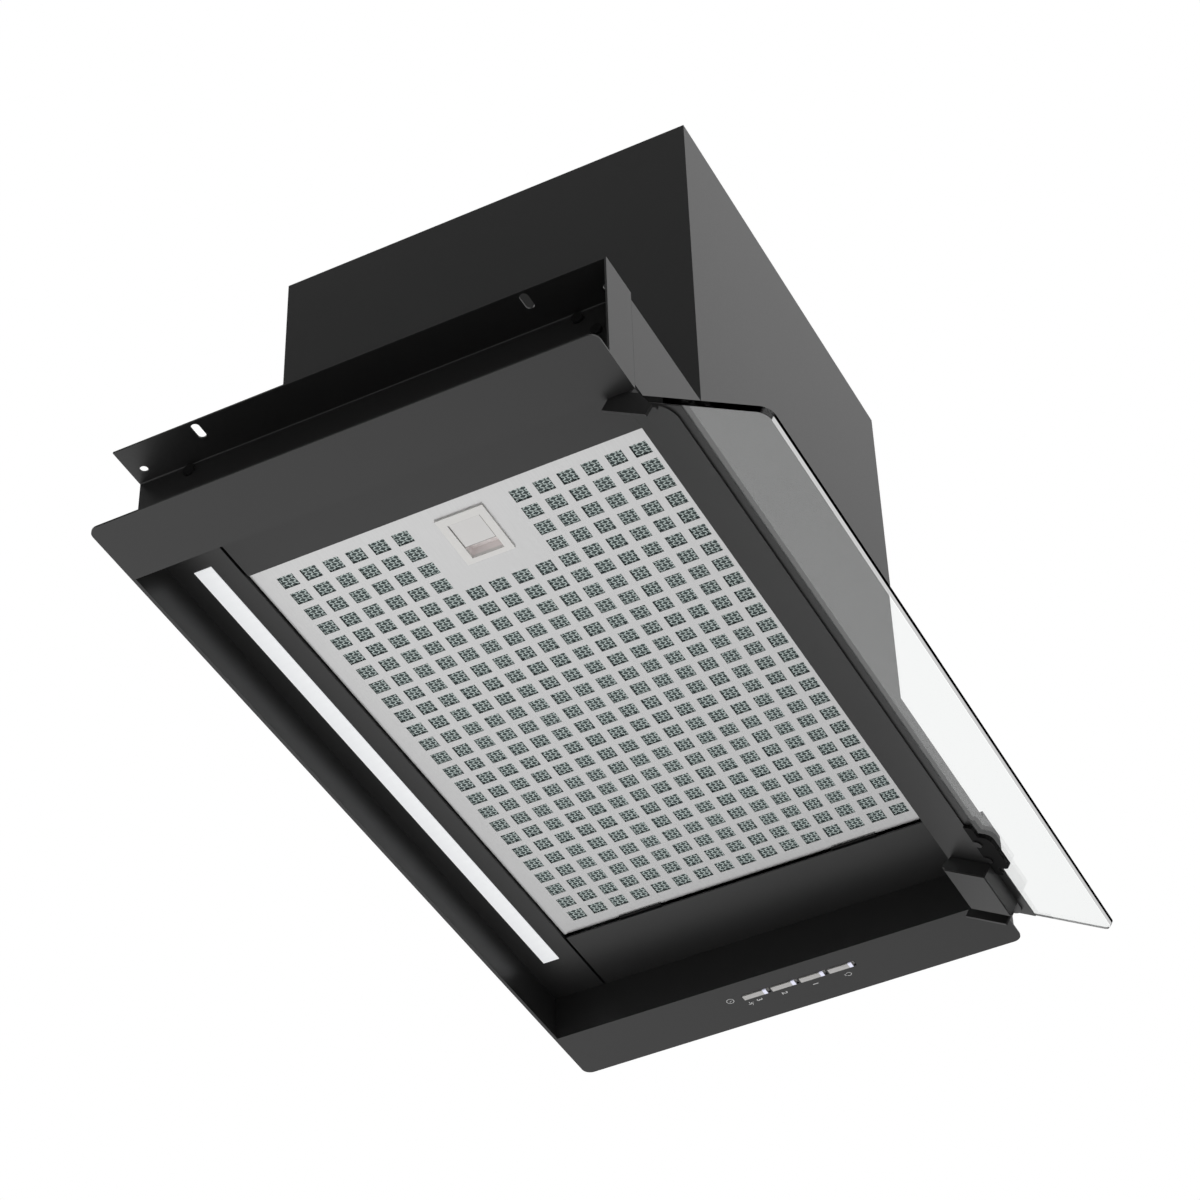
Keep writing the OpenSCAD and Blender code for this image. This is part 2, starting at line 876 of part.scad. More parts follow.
// Damper flap on the -Y side: half a disc with two knuckles round the pin
module damper_flap() {
    edge = knuckle_r + knuckle_gap;
    difference() {
        union() {
            translate([0, 0, flap_z])
                intersection() {
                    cylinder(h = flap_t, r = flap_r, $fn = 128);
                    union() {
                        block([-flap_r, flap_r], [-flap_r, -edge], [0, flap_t]);
                        for (x = knuckle_x)
                            block([x, x + knuckle_w], [-flap_r, 0], [0, flap_t]);
                    }
                }
            for (x = knuckle_x)
                translate([0, 0, damper_z])
                    rod_x(knuckle_r, [x, x + knuckle_w]);
        }
        translate([0, 0, damper_z])
            rod_x(damper_pin_r + 2 * running, [-duct_r, duct_r]);
    }
}

module damper_flap_front() {
    color("#29292b")
        translate([0, duct_y, 0])
            damper_flap();
}

module damper_flap_rear() {
    color("#29292b")
        translate([0, duct_y, 0])
            rotate([0, 0, 180])
                damper_flap();
}

// Radius of the scroll's inside at an angle from +Y towards +Z
function scroll_r(a) =
    scroll_r0 + (scroll_r1 - scroll_r0) * (a - tongue_a) / (360 - tongue_a);

// Points of the spiral, moved out by a wall
function spiral(wall) = [
    for (a = [tongue_a:spiral_step:360])
        (scroll_r(a) + wall) * [cos(a), sin(a)]
];

// Outline of the scroll and its outlet; x is +Y of the hood, y is +Z
module scroll_inside(top) {
    polygon(concat(spiral(0), [[scroll_r1, top], [outlet_left, top]]));
}

module scroll_outside(top) {
    tongue = scroll_r0 * [cos(tongue_a), sin(tongue_a)];
    polygon(concat(spiral(scroll_wall), [[0, 0]]));
    polygon([
        [scroll_r1 + scroll_wall, 0],
        [scroll_r1 + scroll_wall, top],
        [outlet_left - 2 * scroll_wall, top],
        tongue - [scroll_wall, 2 * scroll_wall],
        [scroll_r1 / 2, 0]
    ]);
}

// Extrudes an outline in Y and Z along X, between plus and minus half
module across(half) {
    translate([-half, fan_y, fan_z])
        rotate([90, 0, 90])
            linear_extrude(2 * half)
                children();
}

module blower_scroll() {
    flange_y = [fan_y + outlet_left - outlet_flange_w,
                fan_y + scroll_r1 + scroll_wall + outlet_edge_w];
    flange_x = scroll_x + outlet_flange_w;
    color("#77797c")
        difference() {
            union() {
                across(scroll_x)
                    scroll_outside(outlet_h);
                block([-flange_x, flange_x], flange_y, [lid_under - outlet_flange_t, lid_under]);
            }
            difference() {
                across(scroll_half)
                    scroll_inside(outlet_h + over);
                translate([0, fan_y, fan_z])
                    for (side = [0, 1])
                        mirror([side, 0, 0])
                            tube_x(inlet_d / 2 + scroll_wall, inlet_d / 2,
                                   [scroll_half - bellmouth_l, scroll_half + over]);
            }
            translate([0, fan_y, fan_z])
                rod_x(inlet_d / 2, [-scroll_x - over, scroll_x + over]);
        }
}

// One forward-curved blade, in the plane across the axis
module blade() {
    middle = (wheel_in_r + wheel_r) / 2;
    intersection() {
        difference() {
            circle(r = wheel_r - blade_t / 2, $fn = 128);
            circle(r = wheel_in_r, $fn = 128);
        }
        translate([middle, 0])
            difference() {
                circle(r = blade_r);
                circle(r = blade_r - blade_t);
            }
        translate([wheel_in_r - blade_r, 0])
            square([wheel_r - wheel_in_r + 2 * blade_r, 2 * blade_r]);
    }
}

module impeller() {
    color("#8d9094")
        union() {
            across(wheel_x)
                for (i = [0:blade_count - 1])
                    rotate(i * 360 / blade_count)
                        blade();
            translate([0, fan_y, fan_z]) {
                for (side = [0, 1])
                    mirror([side, 0, 0])
                        tube_x(wheel_r, wheel_r - wheel_ring_w, [wheel_x - wheel_ring_t, wheel_x]);
                tube_x(wheel_r - wheel_ring_w / 2, shaft_r,
                       [wheel_disc_x, wheel_disc_x + wheel_disc_t]);
                tube_x(hub_r, shaft_r, hub_x);
            }
        }
}

module motor_shaft() {
    color("silver")
        translate([0, fan_y, fan_z])
            rod_x(shaft_r, [motor_x0 + bell_t + seat, hub_x[1]]);
}

module motor_rotor() {
    color("#9a9da1")
        translate([0, fan_y, fan_z])
            tube_x(stator_in_r - air_gap, shaft_r, core_x);
}

// Stator: a ring with slots between its poles
module motor_stator() {
    color("#7d6a4a")
        translate([0, fan_y, fan_z])
            difference() {
                tube_x(motor_r - can_t, stator_in_r, core_x);
                for (i = [0:pole_count - 1])
                    rotate([i * 360 / pole_count, 0, 0])
                        block([core_x[0] - over, core_x[1] + over], [-pole_w / 2, pole_w / 2],
                              [stator_in_r - over, pole_slot_r]);
            }
}

// Angles of the bracket's arms, which are also those of the bushes
module arm_places() {
    for (i = [0:arm_count - 1])
        rotate([i * 360 / arm_count, 0, 0])
            children();
}

module motor_casing() {
    pocket_r = bearing_r + pocket_t;
    color("#b4b7ba")
        translate([0, fan_y, fan_z])
            difference() {
                union() {
                    tube_x(motor_r, motor_r - can_t, [motor_x0, motor_x1]);
                    rod_x(motor_r - can_t, [motor_x0, motor_x0 + bell_t]);
                    rod_x(motor_r - can_t, [motor_x1 - bell_t, motor_x1]);
                    rod_x(pocket_r, [motor_x0, motor_x0 + bell_t + bearing_w]);
                    rod_x(pocket_r, [motor_x1 - bell_t - bearing_w, motor_x1]);
                }
                rod_x(bearing_r, [motor_x0 + bell_t, motor_x0 + bell_t + bearing_w + over]);
                rod_x(bearing_r, [motor_x1 - bell_t - bearing_w - over, motor_x1 - bell_t]);
                rod_x(shaft_r + 2 * screw_gap, [motor_x1 - bell_t - over, motor_x1 + over]);
                arm_places()
                    translate([0, 0, bush_at])
                        rod_x(motor_screw_r + screw_gap, [motor_x0 - over, motor_x0 + bell_t + over]);
            }
}

module motor_bearings() {
    color("#d5d7da")
        translate([0, fan_y, fan_z]) {
            tube_x(bearing_r, shaft_r + running, [motor_x0 + bell_t, motor_x0 + bell_t + bearing_w]);
            tube_x(bearing_r, shaft_r + running,
                   [motor_x1 - bell_t - bearing_w, motor_x1 - bell_t]);
        }
}

// Bracket: a ring round the inlet and three arms that carry the motor
module motor_bracket() {
    x = [bracket_x, bracket_x + bracket_t];
    color("#6b6e72")
        translate([0, fan_y, fan_z])
            difference() {
                union() {
                    tube_x(bracket_out_r, bracket_in_r, x);
                    rod_x(bracket_hub_r, x);
                    arm_places()
                        block(x, [-arm_w / 2, arm_w / 2], [0, (bracket_in_r + bracket_out_r) / 2]);
                    arm_places()
                        translate([0, 0, bush_at])
                            rod_x(arm_w / 2, x);
                }
                arm_places()
                    translate([0, 0, bush_at])
                        rod_x(motor_screw_r + screw_gap, [x[0] - over, x[1] + over]);
            }
}

module rubber_bushes() {
    color("#202021")
        translate([0, fan_y, fan_z])
            arm_places()
                translate([0, 0, bush_at])
                    tube_x(bush_r, motor_screw_r + screw_gap, [bush_end, motor_x0]);
}

module motor_screws() {
    reach = motor_x0 + bell_t - bracket_x;
    color("silver")
        translate([0, fan_y, fan_z])
            arm_places()
                translate([bracket_x, 0, bush_at])
                    mirror([1, 0, 0])
                        screw_x(motor_screw_r, screw_head_r, screw_head_t, reach);
}

// Control box: an open tray on the deck, with standoffs for the board
module control_box() {
    color("#8a8c8f")
        difference() {
            union() {
                difference() {
                    block([control_x0, control_x1], [control_y0, control_y1],
                          [deck_top, control_top]);
                    block([control_x0 + control_wall, control_x1 - control_wall],
                          [control_y0 + control_wall, control_y1 - control_wall],
                          [deck_top + control_wall, control_top + over]);
                }
                standoff_places()
                    cylinder(h = standoff_h + control_wall, r = standoff_r);
            }
            translate([gland_x, gland_y, gland_z])
                rotate([90, 0, 0])
                    cylinder(h = 4 * control_wall, r = gland_r, center = true);
        }
}

// Standoffs in the corners of the control box
module standoff_places() {
    inset = 3 * standoff_r;
    for (x = [control_x0 + inset, control_x1 - inset],
         y = [control_y0 + inset, control_board_rear - standoff_r])
        translate([x, y, deck_top])
            children();
}

module control_box_cover() {
    rim = 2 * control_wall;
    color("#8a8c8f") {
        block([control_x0, control_x1], [control_y0, control_y1],
              [control_top, control_top + control_wall]);
        difference() {
            block([control_x0 + rim, control_x1 - rim], [control_y0 + rim, control_y1 - rim],
                  [control_top - rim, control_top]);
            block([control_x0 + 2 * rim, control_x1 - 2 * rim],
                  [control_y0 + 2 * rim, control_y1 - 2 * rim],
                  [control_top - rim - over, control_top]);
        }
    }
}

// Board on the standoffs, with a transformer, a relay pair and a row of connectors
module control_board() {
    inset = 2 * standoff_r;
    z0 = deck_top + control_wall + standoff_h;
    z1 = z0 + control_board_t;
    x0 = control_x0 + inset;
    y0 = control_y0 + inset;
    span_x = control_x1 - control_x0 - 2 * inset;
    span_y = control_board_rear - y0;
    part = span_x / board_sixths;
    color("#2e6b45") {
        block([x0, x0 + span_x], [y0, y0 + span_y], [z0, z1]);
        translate([x0 + part, y0 + part, z1])
            cube(part * transformer_share);
        for (i = [0, 1])
            translate([x0 + relay_x_share * part, y0 + (1 + 2 * i) * part, z1])
                cube(part * relay_share);
        for (i = [0:3])
            translate([x0 + (plug_x_share + plug_step_share * i) * part,
                       y0 + span_y - plug_rear_share * part, z1])
                cube(part * plug_share);
    }
}

// Run capacitor: a can that stands on the floor of the control box, behind the board
module run_capacitor() {
    color("#c9cbce")
        translate([cap_x, cap_y, deck_top + control_wall])
            cylinder(h = min(cap_l, control_h - 4 * control_wall), r = cap_r);
}

module terminal_block() {
    x0 = control_x0 + 2 * control_wall;
    z0 = deck_top + control_wall;
    count = floor(terminal_w / terminal_pitch);
    color("#e9e9e6")
        translate([x0, terminal_y, z0])
            difference() {
                cube([terminal_w, terminal_d, terminal_h]);
                for (i = [0:count - 1])
                    translate([(i + 1 / 2) * terminal_pitch, terminal_d / 2, terminal_h / 2])
                        cylinder(h = terminal_h, r = terminal_r);
            }
}

// Mains cable gland in the rear wall of the control box
module mains_gland() {
    bore_r = gland_bore_d / 2;
    color("#1f1f20")
        translate([gland_x, gland_y, gland_z])
            rotate([-90, 0, 0])
                difference() {
                    union() {
                        translate([0, 0, -gland_in])
                            cylinder(h = gland_in + gland_out, r = gland_r);
                        cylinder(h = gland_in, r = gland_flange_r);
                    }
                    translate([0, 0, -gland_in - over])
                        cylinder(h = gland_in + gland_out + 2 * over, r = bore_r);
                }
}

// Keypad housing: a cap on the flange over the four buttons
module keypad_housing() {
    inner = [keypad_x[0] + keypad_wall, keypad_x[1] - keypad_wall];
    top = sheet_t + keypad_h;
    color("#232324")
        difference() {
            block(keypad_x, [keypad_front, keypad_rear], [sheet_t, top]);
            block(inner, [keypad_front + keypad_wall, keypad_rear - keypad_wall],
                  [sheet_t - over, keypad_board_z]);
            block([inner[0] + keypad_wall, inner[1] - keypad_wall],
                  [keypad_front + 2 * keypad_wall, keypad_rear - 2 * keypad_wall],
                  [sheet_t, top - keypad_wall]);
        }
}

module keypad_board() {
    inner = [keypad_x[0] + keypad_wall, keypad_x[1] - keypad_wall];
    color("#2e6b45") {
        block(inner, [keypad_front + keypad_wall, keypad_rear - keypad_wall],
              [keypad_board_z - board_t, keypad_board_z]);
        for (i = [0:3])
            translate([button_x, button_y - i * button_pitch, keypad_board_z - board_t]) {
                block([-switch_w / 2, switch_w / 2], [-switch_w / 2, switch_w / 2],
                      [board_t / 2 - switch_h, 0]);
            }
    }
}

// One push button: a bar through the flange on a wider foot that rests on the flange
module button(i) {
    color("#b6bac0")
        translate([button_x, button_y - i * button_pitch, 0]) {
            block([-button_w / 2, button_w / 2], [-button_l / 2, button_l / 2],
                  [-button_proud, sheet_t + seat]);
            block([-button_base_w / 2, button_base_w / 2], [-button_base_l / 2, button_base_l / 2],
                  [sheet_t + seat, sheet_t + seat + button_base_t - board_t / 2]);
        }
}

module button_1() { button(0); }
module button_2() { button(1); }
module button_3() { button(2); }
module button_4() { button(3); }

// Places of the perforations, clear of the latch
module perforations() {
    x0 = -(hole_cols - 1) / 2 * hole_pitch;
    y0 = filter_y - (hole_rows - 1) / 2 * hole_pitch;
    first = (hole_rows - blank_rows) / 2;
    for (i = [0:hole_cols - 1], j = [0:hole_rows - 1])
        if (i >= blank_cols || j < first || j >= hole_rows - first)
            translate([x0 + i * hole_pitch, y0 + j * hole_pitch])
                square(hole_w, center = true);
}

// Filter: a perforated sheet with a folded rim and two hanging tongues at the button end
module filter_plate() {
    wall_y = latch_w / 2 - latch_proud - latch_wall;
    color("#c9cacb")
        difference() {
            union() {
                translate([0, 0, filter_z])
                    linear_extrude(filter_sheet)
                        difference() {
                            translate([-filter_x, filter_front])
                                square([2 * filter_x, filter_rear - filter_front]);
                            perforations();
                        }
                difference() {
                    block([-filter_x, filter_x], [filter_front, filter_rear],
                          [filter_z, filter_top]);
                    block([filter_sheet - filter_x, filter_x - filter_sheet],
                          [filter_front + filter_sheet, filter_rear - filter_sheet],
                          [filter_z - over, filter_top + over]);
                }
                for (side = [-1, 1])
                    translate([0, filter_y + side * tongue_y, 0]) {
                        block([filter_x - filter_sheet, filter_x + 2 * filter_gap],
                              [-tongue_w / 2, tongue_w / 2],
                              [liner_top + seat, filter_z + filter_sheet]);
                        block([filter_x + filter_gap, filter_x + tongue_l],
                              [-tongue_w / 2, tongue_w / 2],
                              [liner_top + seat, liner_top + seat + 2 * filter_sheet]);
                    }
            }
            block([latch_x0 + latch_rim, latch_x1 - latch_rim + 2 * latch_wall],
                  [filter_y - wall_y, filter_y + wall_y],
                  [filter_z - over, filter_z + filter_sheet + over]);
            block([-filter_x - over, filter_sheet - filter_x + over],
                  [filter_y - bolt_w / 2 - seat, filter_y + bolt_w / 2 + seat],
                  [bolt_z - seat, bolt_z + bolt_t + seat]);
        }
}

// Mesh pack: a folded layer between the perforated sheet and the back plate
module filter_mesh() {
    z0 = filter_z + filter_sheet + mesh_t / 2;
    z1 = filter_top - back_t - 2 * mesh_t;
    x0 = filter_sheet - filter_x + mesh_pitch / 4;
    count = floor((2 * filter_x - 2 * filter_sheet - mesh_pitch / 2) / mesh_pitch * 2);
    lower = [for (i = [0:count]) [x0 + i * mesh_pitch / 2, i % 2 == 0 ? z0 : z1]];
    upper = [for (i = [count:-1:0]) lower[i] + [0, mesh_t]];
    color("#6f8084")
        difference() {
            translate([0, filter_rear - filter_sheet, 0])
                rotate([90, 0, 0])
                    linear_extrude(filter_rear - filter_front - 2 * filter_sheet)
                        polygon(concat(lower, upper));
            block([-filter_x, latch_x1 + seat], [filter_y - latch_w / 2, filter_y + latch_w / 2],
                  [filter_z, filter_top]);
        }
}

// Back plate of the filter: a sheet with large windows inside the folded rim
module filter_back_plate() {
    x = filter_x - filter_sheet;
    y0 = filter_front + filter_sheet;
    y1 = filter_rear - filter_sheet;
    step_x = (2 * x - window_bar) / window_cols;
    step_y = (y1 - y0 - window_bar) / window_rows;
    color("#bcbec0")
        difference() {
            block([-x, x], [y0, y1], [filter_top - back_t, filter_top]);
            for (i = [0:window_cols - 1], j = [0:window_rows - 1])
                translate([window_bar - x + i * step_x, y0 + window_bar + j * step_y,
                           filter_top - back_t - over])
                    cube([step_x - window_bar, step_y - window_bar, back_t + 2 * over]);
            block([-filter_x, latch_x1 + seat], [filter_y - latch_w / 2, filter_y + latch_w / 2],
                  [filter_top - back_t - over, filter_top + over]);
        }
}

// Latch frame: a bezel below the sheet and a shallow cup above it
module latch_frame() {
    y = latch_w / 2;
    cup = [latch_x0 + latch_rim, latch_x1 - latch_rim + 2 * latch_wall];
    cup_y = recess_y + latch_wall;
    color("#e4e3e0")
        translate([0, filter_y, 0])
            difference() {
                union() {
                    block([latch_x0, latch_x1], [-y, y], [filter_z - latch_proud, filter_z]);
                    block(cup, [-cup_y, cup_y], [filter_z, ceiling_z + latch_wall]);
                }
                block([recess_x0, recess_x1], [-recess_y, recess_y],
                      [filter_z - latch_proud - over, ceiling_z]);
                block([latch_x0 - over, recess_x0 + over], [-bolt_w / 2 - seat, bolt_w / 2 + seat],
                      [bolt_z - seat, bolt_z + bolt_t + seat]);
            }
}

// Sliding catch: a thumb plate in the recess, and a bolt that reaches over the ceiling's lip
module latch_slider() {
    y = recess_y - slider_gap;
    color("#eeedea")
        translate([0, filter_y, 0]) {
            block([slider_x0, slider_x1], [-y, y], [slider_z, slider_z + slider_t]);
            block([slider_x0, slider_x0 + bolt_w / 2], [-bolt_w / 2, bolt_w / 2],
                  [slider_z + slider_t, bolt_z + bolt_t]);
            block([-filter_x - bolt_reach, slider_x0 + bolt_w / 2], [-bolt_w / 2, bolt_w / 2],
                  [bolt_z, bolt_z + bolt_t]);
        }
}

// Places what is drawn lying flat, measured from the hinge axis, at the visor's tilt
module on_visor() {
    translate([0, pivot_y, pivot_h])
        rotate([visor_tilt, 0, 0])
            translate([0, 0, -pivot_over])
                children();
}

module visor_glass() {
    color("#c8d0ce", 0.35)
        on_visor()
            linear_extrude(glass_t)
                round_outline([-glass_x, glass_x], [-glass_setback - glass_d, -glass_setback],
                              glass_corner_r);
}

module visor_strip() {
    color("#3c3c3d")
        on_visor()
            block([-strip_x, strip_x], [strip_rear - strip_d, strip_rear], [-strip_t, 0]);
}

// Cover strip: a plate with round front corners and a rolled rear edge
module visor_cover() {
    under = strip_t + cover_t;
    color("#525253")
        on_visor()
            union() {
                translate([0, 0, -under])
                    linear_extrude(cover_t)
                        round_outline([-cover_x, cover_x], [cover_rear - cover_d, cover_rear],
                                      cover_corner_r);
                translate([0, cover_rear - rolled_r, rolled_r - under])
                    rod_x(rolled_r, [-cover_x, cover_x]);
            }
}

// Side view of a hinge cheek, drawn with +X to the rear and the hinge axis at the origin
module cheek_outline() {
    bottom = -pivot_over - cheek_drop;
    glass_top = -pivot_over + glass_t - seat;
    nose = -pivot_over - strip_t - 2 * cover_t;
    circle(r = boss_r);
    polygon([
        [cheek_rear, bottom],
        [cheek_rear, 0],
        [-boss_r, 0],
        [-boss_r, glass_top],
        [cheek_front / 2, glass_top],
        [cheek_front, nose],
        [cheek_front, bottom]
    ]);
}

// Hinge block at the +X end: a plate under the cover strip, a body behind it and a cheek
module hinge_block() {
    under = strip_t + cover_t;
    x0 = block_x - hinge_l;
    on_visor()
        difference() {
            union() {
                block([x0, block_x], [block_rear - hinge_d, block_rear], [-under - hinge_t, -under]);
                block([x0, block_x], [body_front, block_rear], [-under - hinge_t, body_top]);
                translate([block_x, 0, pivot_over])
                    rotate([90, 0, 90])
                        linear_extrude(cheek_t)
                            cheek_outline();
            }
            translate([0, 0, pivot_over])
                rod_x(pin_d / 2, [block_x - over, block_x + cheek_t + over]);
        }
}

module left_hinge_block() {
    color("#484849")
        mirror([1, 0, 0])
            hinge_block();
}

module right_hinge_block() {
    color("#484849")
        hinge_block();
}

// Hinge pins: a stud riveted in each cheek, which turns in the end wall and ends flush with it
module hinge_pins() {
    inner = [block_x - pin_head_t, block_x];
    color("#2a2a2b")
        for (side = [0, 1])
            mirror([side, 0, 0])
                translate([0, pivot_y, pivot_h]) {
                    rod_x(pin_head_r, inner);
                    rod_x(pin_d / 2, [inner[0], wall_out]);
                }
}

// Black clamp at the button end, under the strip's front edge, with a round ear
module visor_clamp() {
    strip_front = strip_rear - strip_d;
    x0 = clamp_end - clamp_l;
    ear_x0 = x0 + (1 - ear_share) / 2 * clamp_l;
    ear_x1 = x0 + (1 + ear_share) / 2 * clamp_l;
    color("#18181a")
        on_visor()
            difference() {
                union() {
                    translate([0, 0, -strip_t - clamp_t])
                        linear_extrude(clamp_t) {
                            round_outline([x0, clamp_end],
                                          [strip_front, strip_front + clamp_body_d],
                                          clamp_corner_r);
                            round_outline([ear_x0, ear_x1], [strip_front - ear_d, strip_front],
                                          ear_d / 2);
                        }
                    translate([0, 0, -strip_t])
                        linear_extrude(strip_t)
                            round_outline([ear_x0, ear_x1], [strip_front - ear_d, strip_front - seat],
                                          ear_d / 2);
                }
                clamp_screw_places()
                    translate([0, 0, -strip_t - clamp_t - over])
                        cylinder(h = clamp_t + over + strip_t, r = clamp_screw_r + screw_gap);
            }
}

module clamp_screw_places() {
    middle = clamp_end - clamp_l / 2;
    for (side = [-1, 1])
        translate([middle + side * clamp_l / 6, strip_rear - strip_d + clamp_body_d / 2, 0])
            children();
}

module clamp_screws() {
    head_t = screw_head_t / 2;
    color("#3a3a3c")
        on_visor()
            clamp_screw_places()
                translate([0, 0, -strip_t - clamp_t - head_t]) {
                    cylinder(h = head_t, r = 2 * clamp_screw_r);
                    cylinder(h = head_t + clamp_t, r = clamp_screw_r);
                }
}

left_side_rail();
right_side_rail();
front_plate();
rear_plate();
filter_surround();
light_panel();
led_diffuser();
led_channel();
led_board();
top_deck();
motor_housing();
housing_lid();
duct_collar();
damper_pin();
damper_flap_front();
damper_flap_rear();
blower_scroll();
impeller();
motor_shaft();
motor_rotor();
motor_stator();
motor_casing();
motor_bearings();
motor_bracket();
rubber_bushes();
motor_screws();
control_box();
control_box_cover();
control_board();
run_capacitor();
terminal_block();
mains_gland();
keypad_housing();
keypad_board();
button_1();
button_2();
button_3();
button_4();
filter_plate();
filter_mesh();
filter_back_plate();
latch_frame();
latch_slider();
visor_glass();
visor_strip();
visor_cover();
left_hinge_block();
right_hinge_block();
hinge_pins();
visor_clamp();
clamp_screws();
frame_screws();
lid_screws();
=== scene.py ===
import bmesh
import bpy
import math
from mathutils import Matrix, Quaternion, Vector


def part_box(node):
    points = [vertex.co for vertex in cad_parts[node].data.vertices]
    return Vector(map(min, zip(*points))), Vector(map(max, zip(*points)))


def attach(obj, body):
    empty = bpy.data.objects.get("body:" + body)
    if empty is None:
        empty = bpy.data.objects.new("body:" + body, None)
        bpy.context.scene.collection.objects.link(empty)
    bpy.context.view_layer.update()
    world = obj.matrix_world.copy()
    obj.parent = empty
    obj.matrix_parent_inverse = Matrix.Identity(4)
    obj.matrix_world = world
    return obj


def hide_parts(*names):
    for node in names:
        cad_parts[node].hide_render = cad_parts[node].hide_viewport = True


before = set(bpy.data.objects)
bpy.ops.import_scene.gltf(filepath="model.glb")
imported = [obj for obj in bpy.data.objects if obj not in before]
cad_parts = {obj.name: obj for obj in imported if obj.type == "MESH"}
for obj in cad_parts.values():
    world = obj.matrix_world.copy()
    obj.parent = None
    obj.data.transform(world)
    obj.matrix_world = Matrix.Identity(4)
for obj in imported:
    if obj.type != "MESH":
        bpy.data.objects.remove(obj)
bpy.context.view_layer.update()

# Viewpoint: in front of the left end of the hood and well below it, looking up at the underside.
# A long lens, so that parallel edges hardly converge.
def put(name, data):
    """Adds an object to the scene, at the origin."""
    added = bpy.data.objects.new(name, data)
    bpy.context.scene.collection.objects.link(added)
    return added


camera_place = Vector((-1.3673, -0.6673, -1.2614))
camera_heading = math.radians(64.31)
camera_rise = math.radians(42.23)
camera_roll = math.radians(-1.91)
looking = Vector((math.sin(camera_heading) * math.cos(camera_rise),
                  math.cos(camera_heading) * math.cos(camera_rise), math.sin(camera_rise)))
lens = bpy.data.cameras.new("viewpoint")
lens.sensor_width = 36
lens.lens = 100.27
lens.clip_start = 0.05
lens.clip_end = 60
camera = put("viewpoint", lens)
camera.location = camera_place
camera.rotation_mode = "QUATERNION"
camera.rotation_quaternion = looking.to_track_quat("-Z", "Y") @ Quaternion((0, 0, 1), camera_roll)
bpy.context.scene.camera = camera


# Studio: a pale floor with a painted pool of light, glowing, well below the hanging hood, and a
# white surround with three broad soft lights. Tone and Finish build the node trees of the studio
# and the finishes.
class Tone:
    """One value in a node tree. Sums and products add Math nodes, and node() adds any other."""

    def __init__(self, tree, socket=None):
        self.tree, self.socket = tree, socket

    def node(self, kind, settings=None, inputs=None, out=0):
        made = self.tree.nodes.new(kind)
        for name, value in (settings or {}).items():
            setattr(made, name, value)
        for key, value in (inputs or {}).items():
            named = [s for s in made.inputs if s.identifier == key]
            socket = named[0] if named else made.inputs[key]
            if isinstance(value, Tone):
                self.tree.links.new(value.socket, socket)
            else:
                socket.default_value = value
        named = [s for s in made.outputs if s.identifier == out]
        return Tone(self.tree, named[0] if named else made.outputs[out])

    def maths(self, operation, *values):
        return self.node("ShaderNodeMath", {"operation": operation}, dict(enumerate(values)))

    def __add__(self, other):
        return self.maths("ADD", self, other)

    def __sub__(self, other):
        return self.maths("SUBTRACT", self, other)

    def __rsub__(self, other):
        return self.maths("SUBTRACT", other, self)

    def __mul__(self, other):
        return self.maths("MULTIPLY", self, other)

    __radd__ = __add__
    __rmul__ = __mul__

    def band(self, low, high, soft):
        """1 between two limits and 0 outside them, with soft edges."""
        return self.ramp(low - soft, low + soft) * (1 - self.ramp(high - soft, high + soft))

    def ramp(self, low, high):
        """Rises smoothly from 0 at the first limit to 1 at the second."""
        return self.node("ShaderNodeMapRange", {"interpolation_type": "SMOOTHSTEP"},
                         {"Value": self, "From Min": low, "From Max": high})

    def blend(self, first, second):
        """Goes from the first colour to the second as the value goes from 0 to 1."""
        return self.node("ShaderNodeMix", {"data_type": "RGBA"},
                         {"Factor_Float": self, "A_Color": first, "B_Color": second},
                         "Result_Color")


class Finish:
    """A material named for a real finish, with its place on the piece and its shader at hand."""

    def __init__(self, name):
        self.material = bpy.data.materials.new(name)
        self.material.use_nodes = True
        self.tree = self.material.node_tree
        self.shader = self.tree.nodes["Principled BSDF"]
        self.place = Tone(self.tree).node("ShaderNodeTexCoord", out="Object")

    def set(self, **sockets):
        for name, value in sockets.items():
            socket = self.shader.inputs[name.replace("_", " ")]
            if isinstance(value, Tone):
                self.tree.links.new(value.socket, socket)
            else:
                socket.default_value = value
        return self

    def noise(self, scale, detail=2, stretch=(1, 1, 1)):
        place = self.place.node("ShaderNodeMapping", {}, {"Vector": self.place, "Scale": stretch})
        return self.place.node("ShaderNodeTexNoise", {},
                               {"Vector": place, "Scale": scale, "Detail": detail}, "Fac")

    def relief(self, height, strength, distance):
        return self.set(Normal=self.place.node(
            "ShaderNodeBump", {}, {"Height": height, "Strength": strength, "Distance": distance}))

    def axes(self):
        parts = self.place.node("ShaderNodeSeparateXYZ", {}, {"Vector": self.place}, "X")
        node = parts.socket.node
        return [Tone(self.tree, node.outputs[axis]) for axis in "XYZ"]


def grey(level, warm=0.0):
    """A grey, with more red and less blue where it is warm."""
    return (level * (1 + warm), level, level * (1 - warm), 1)


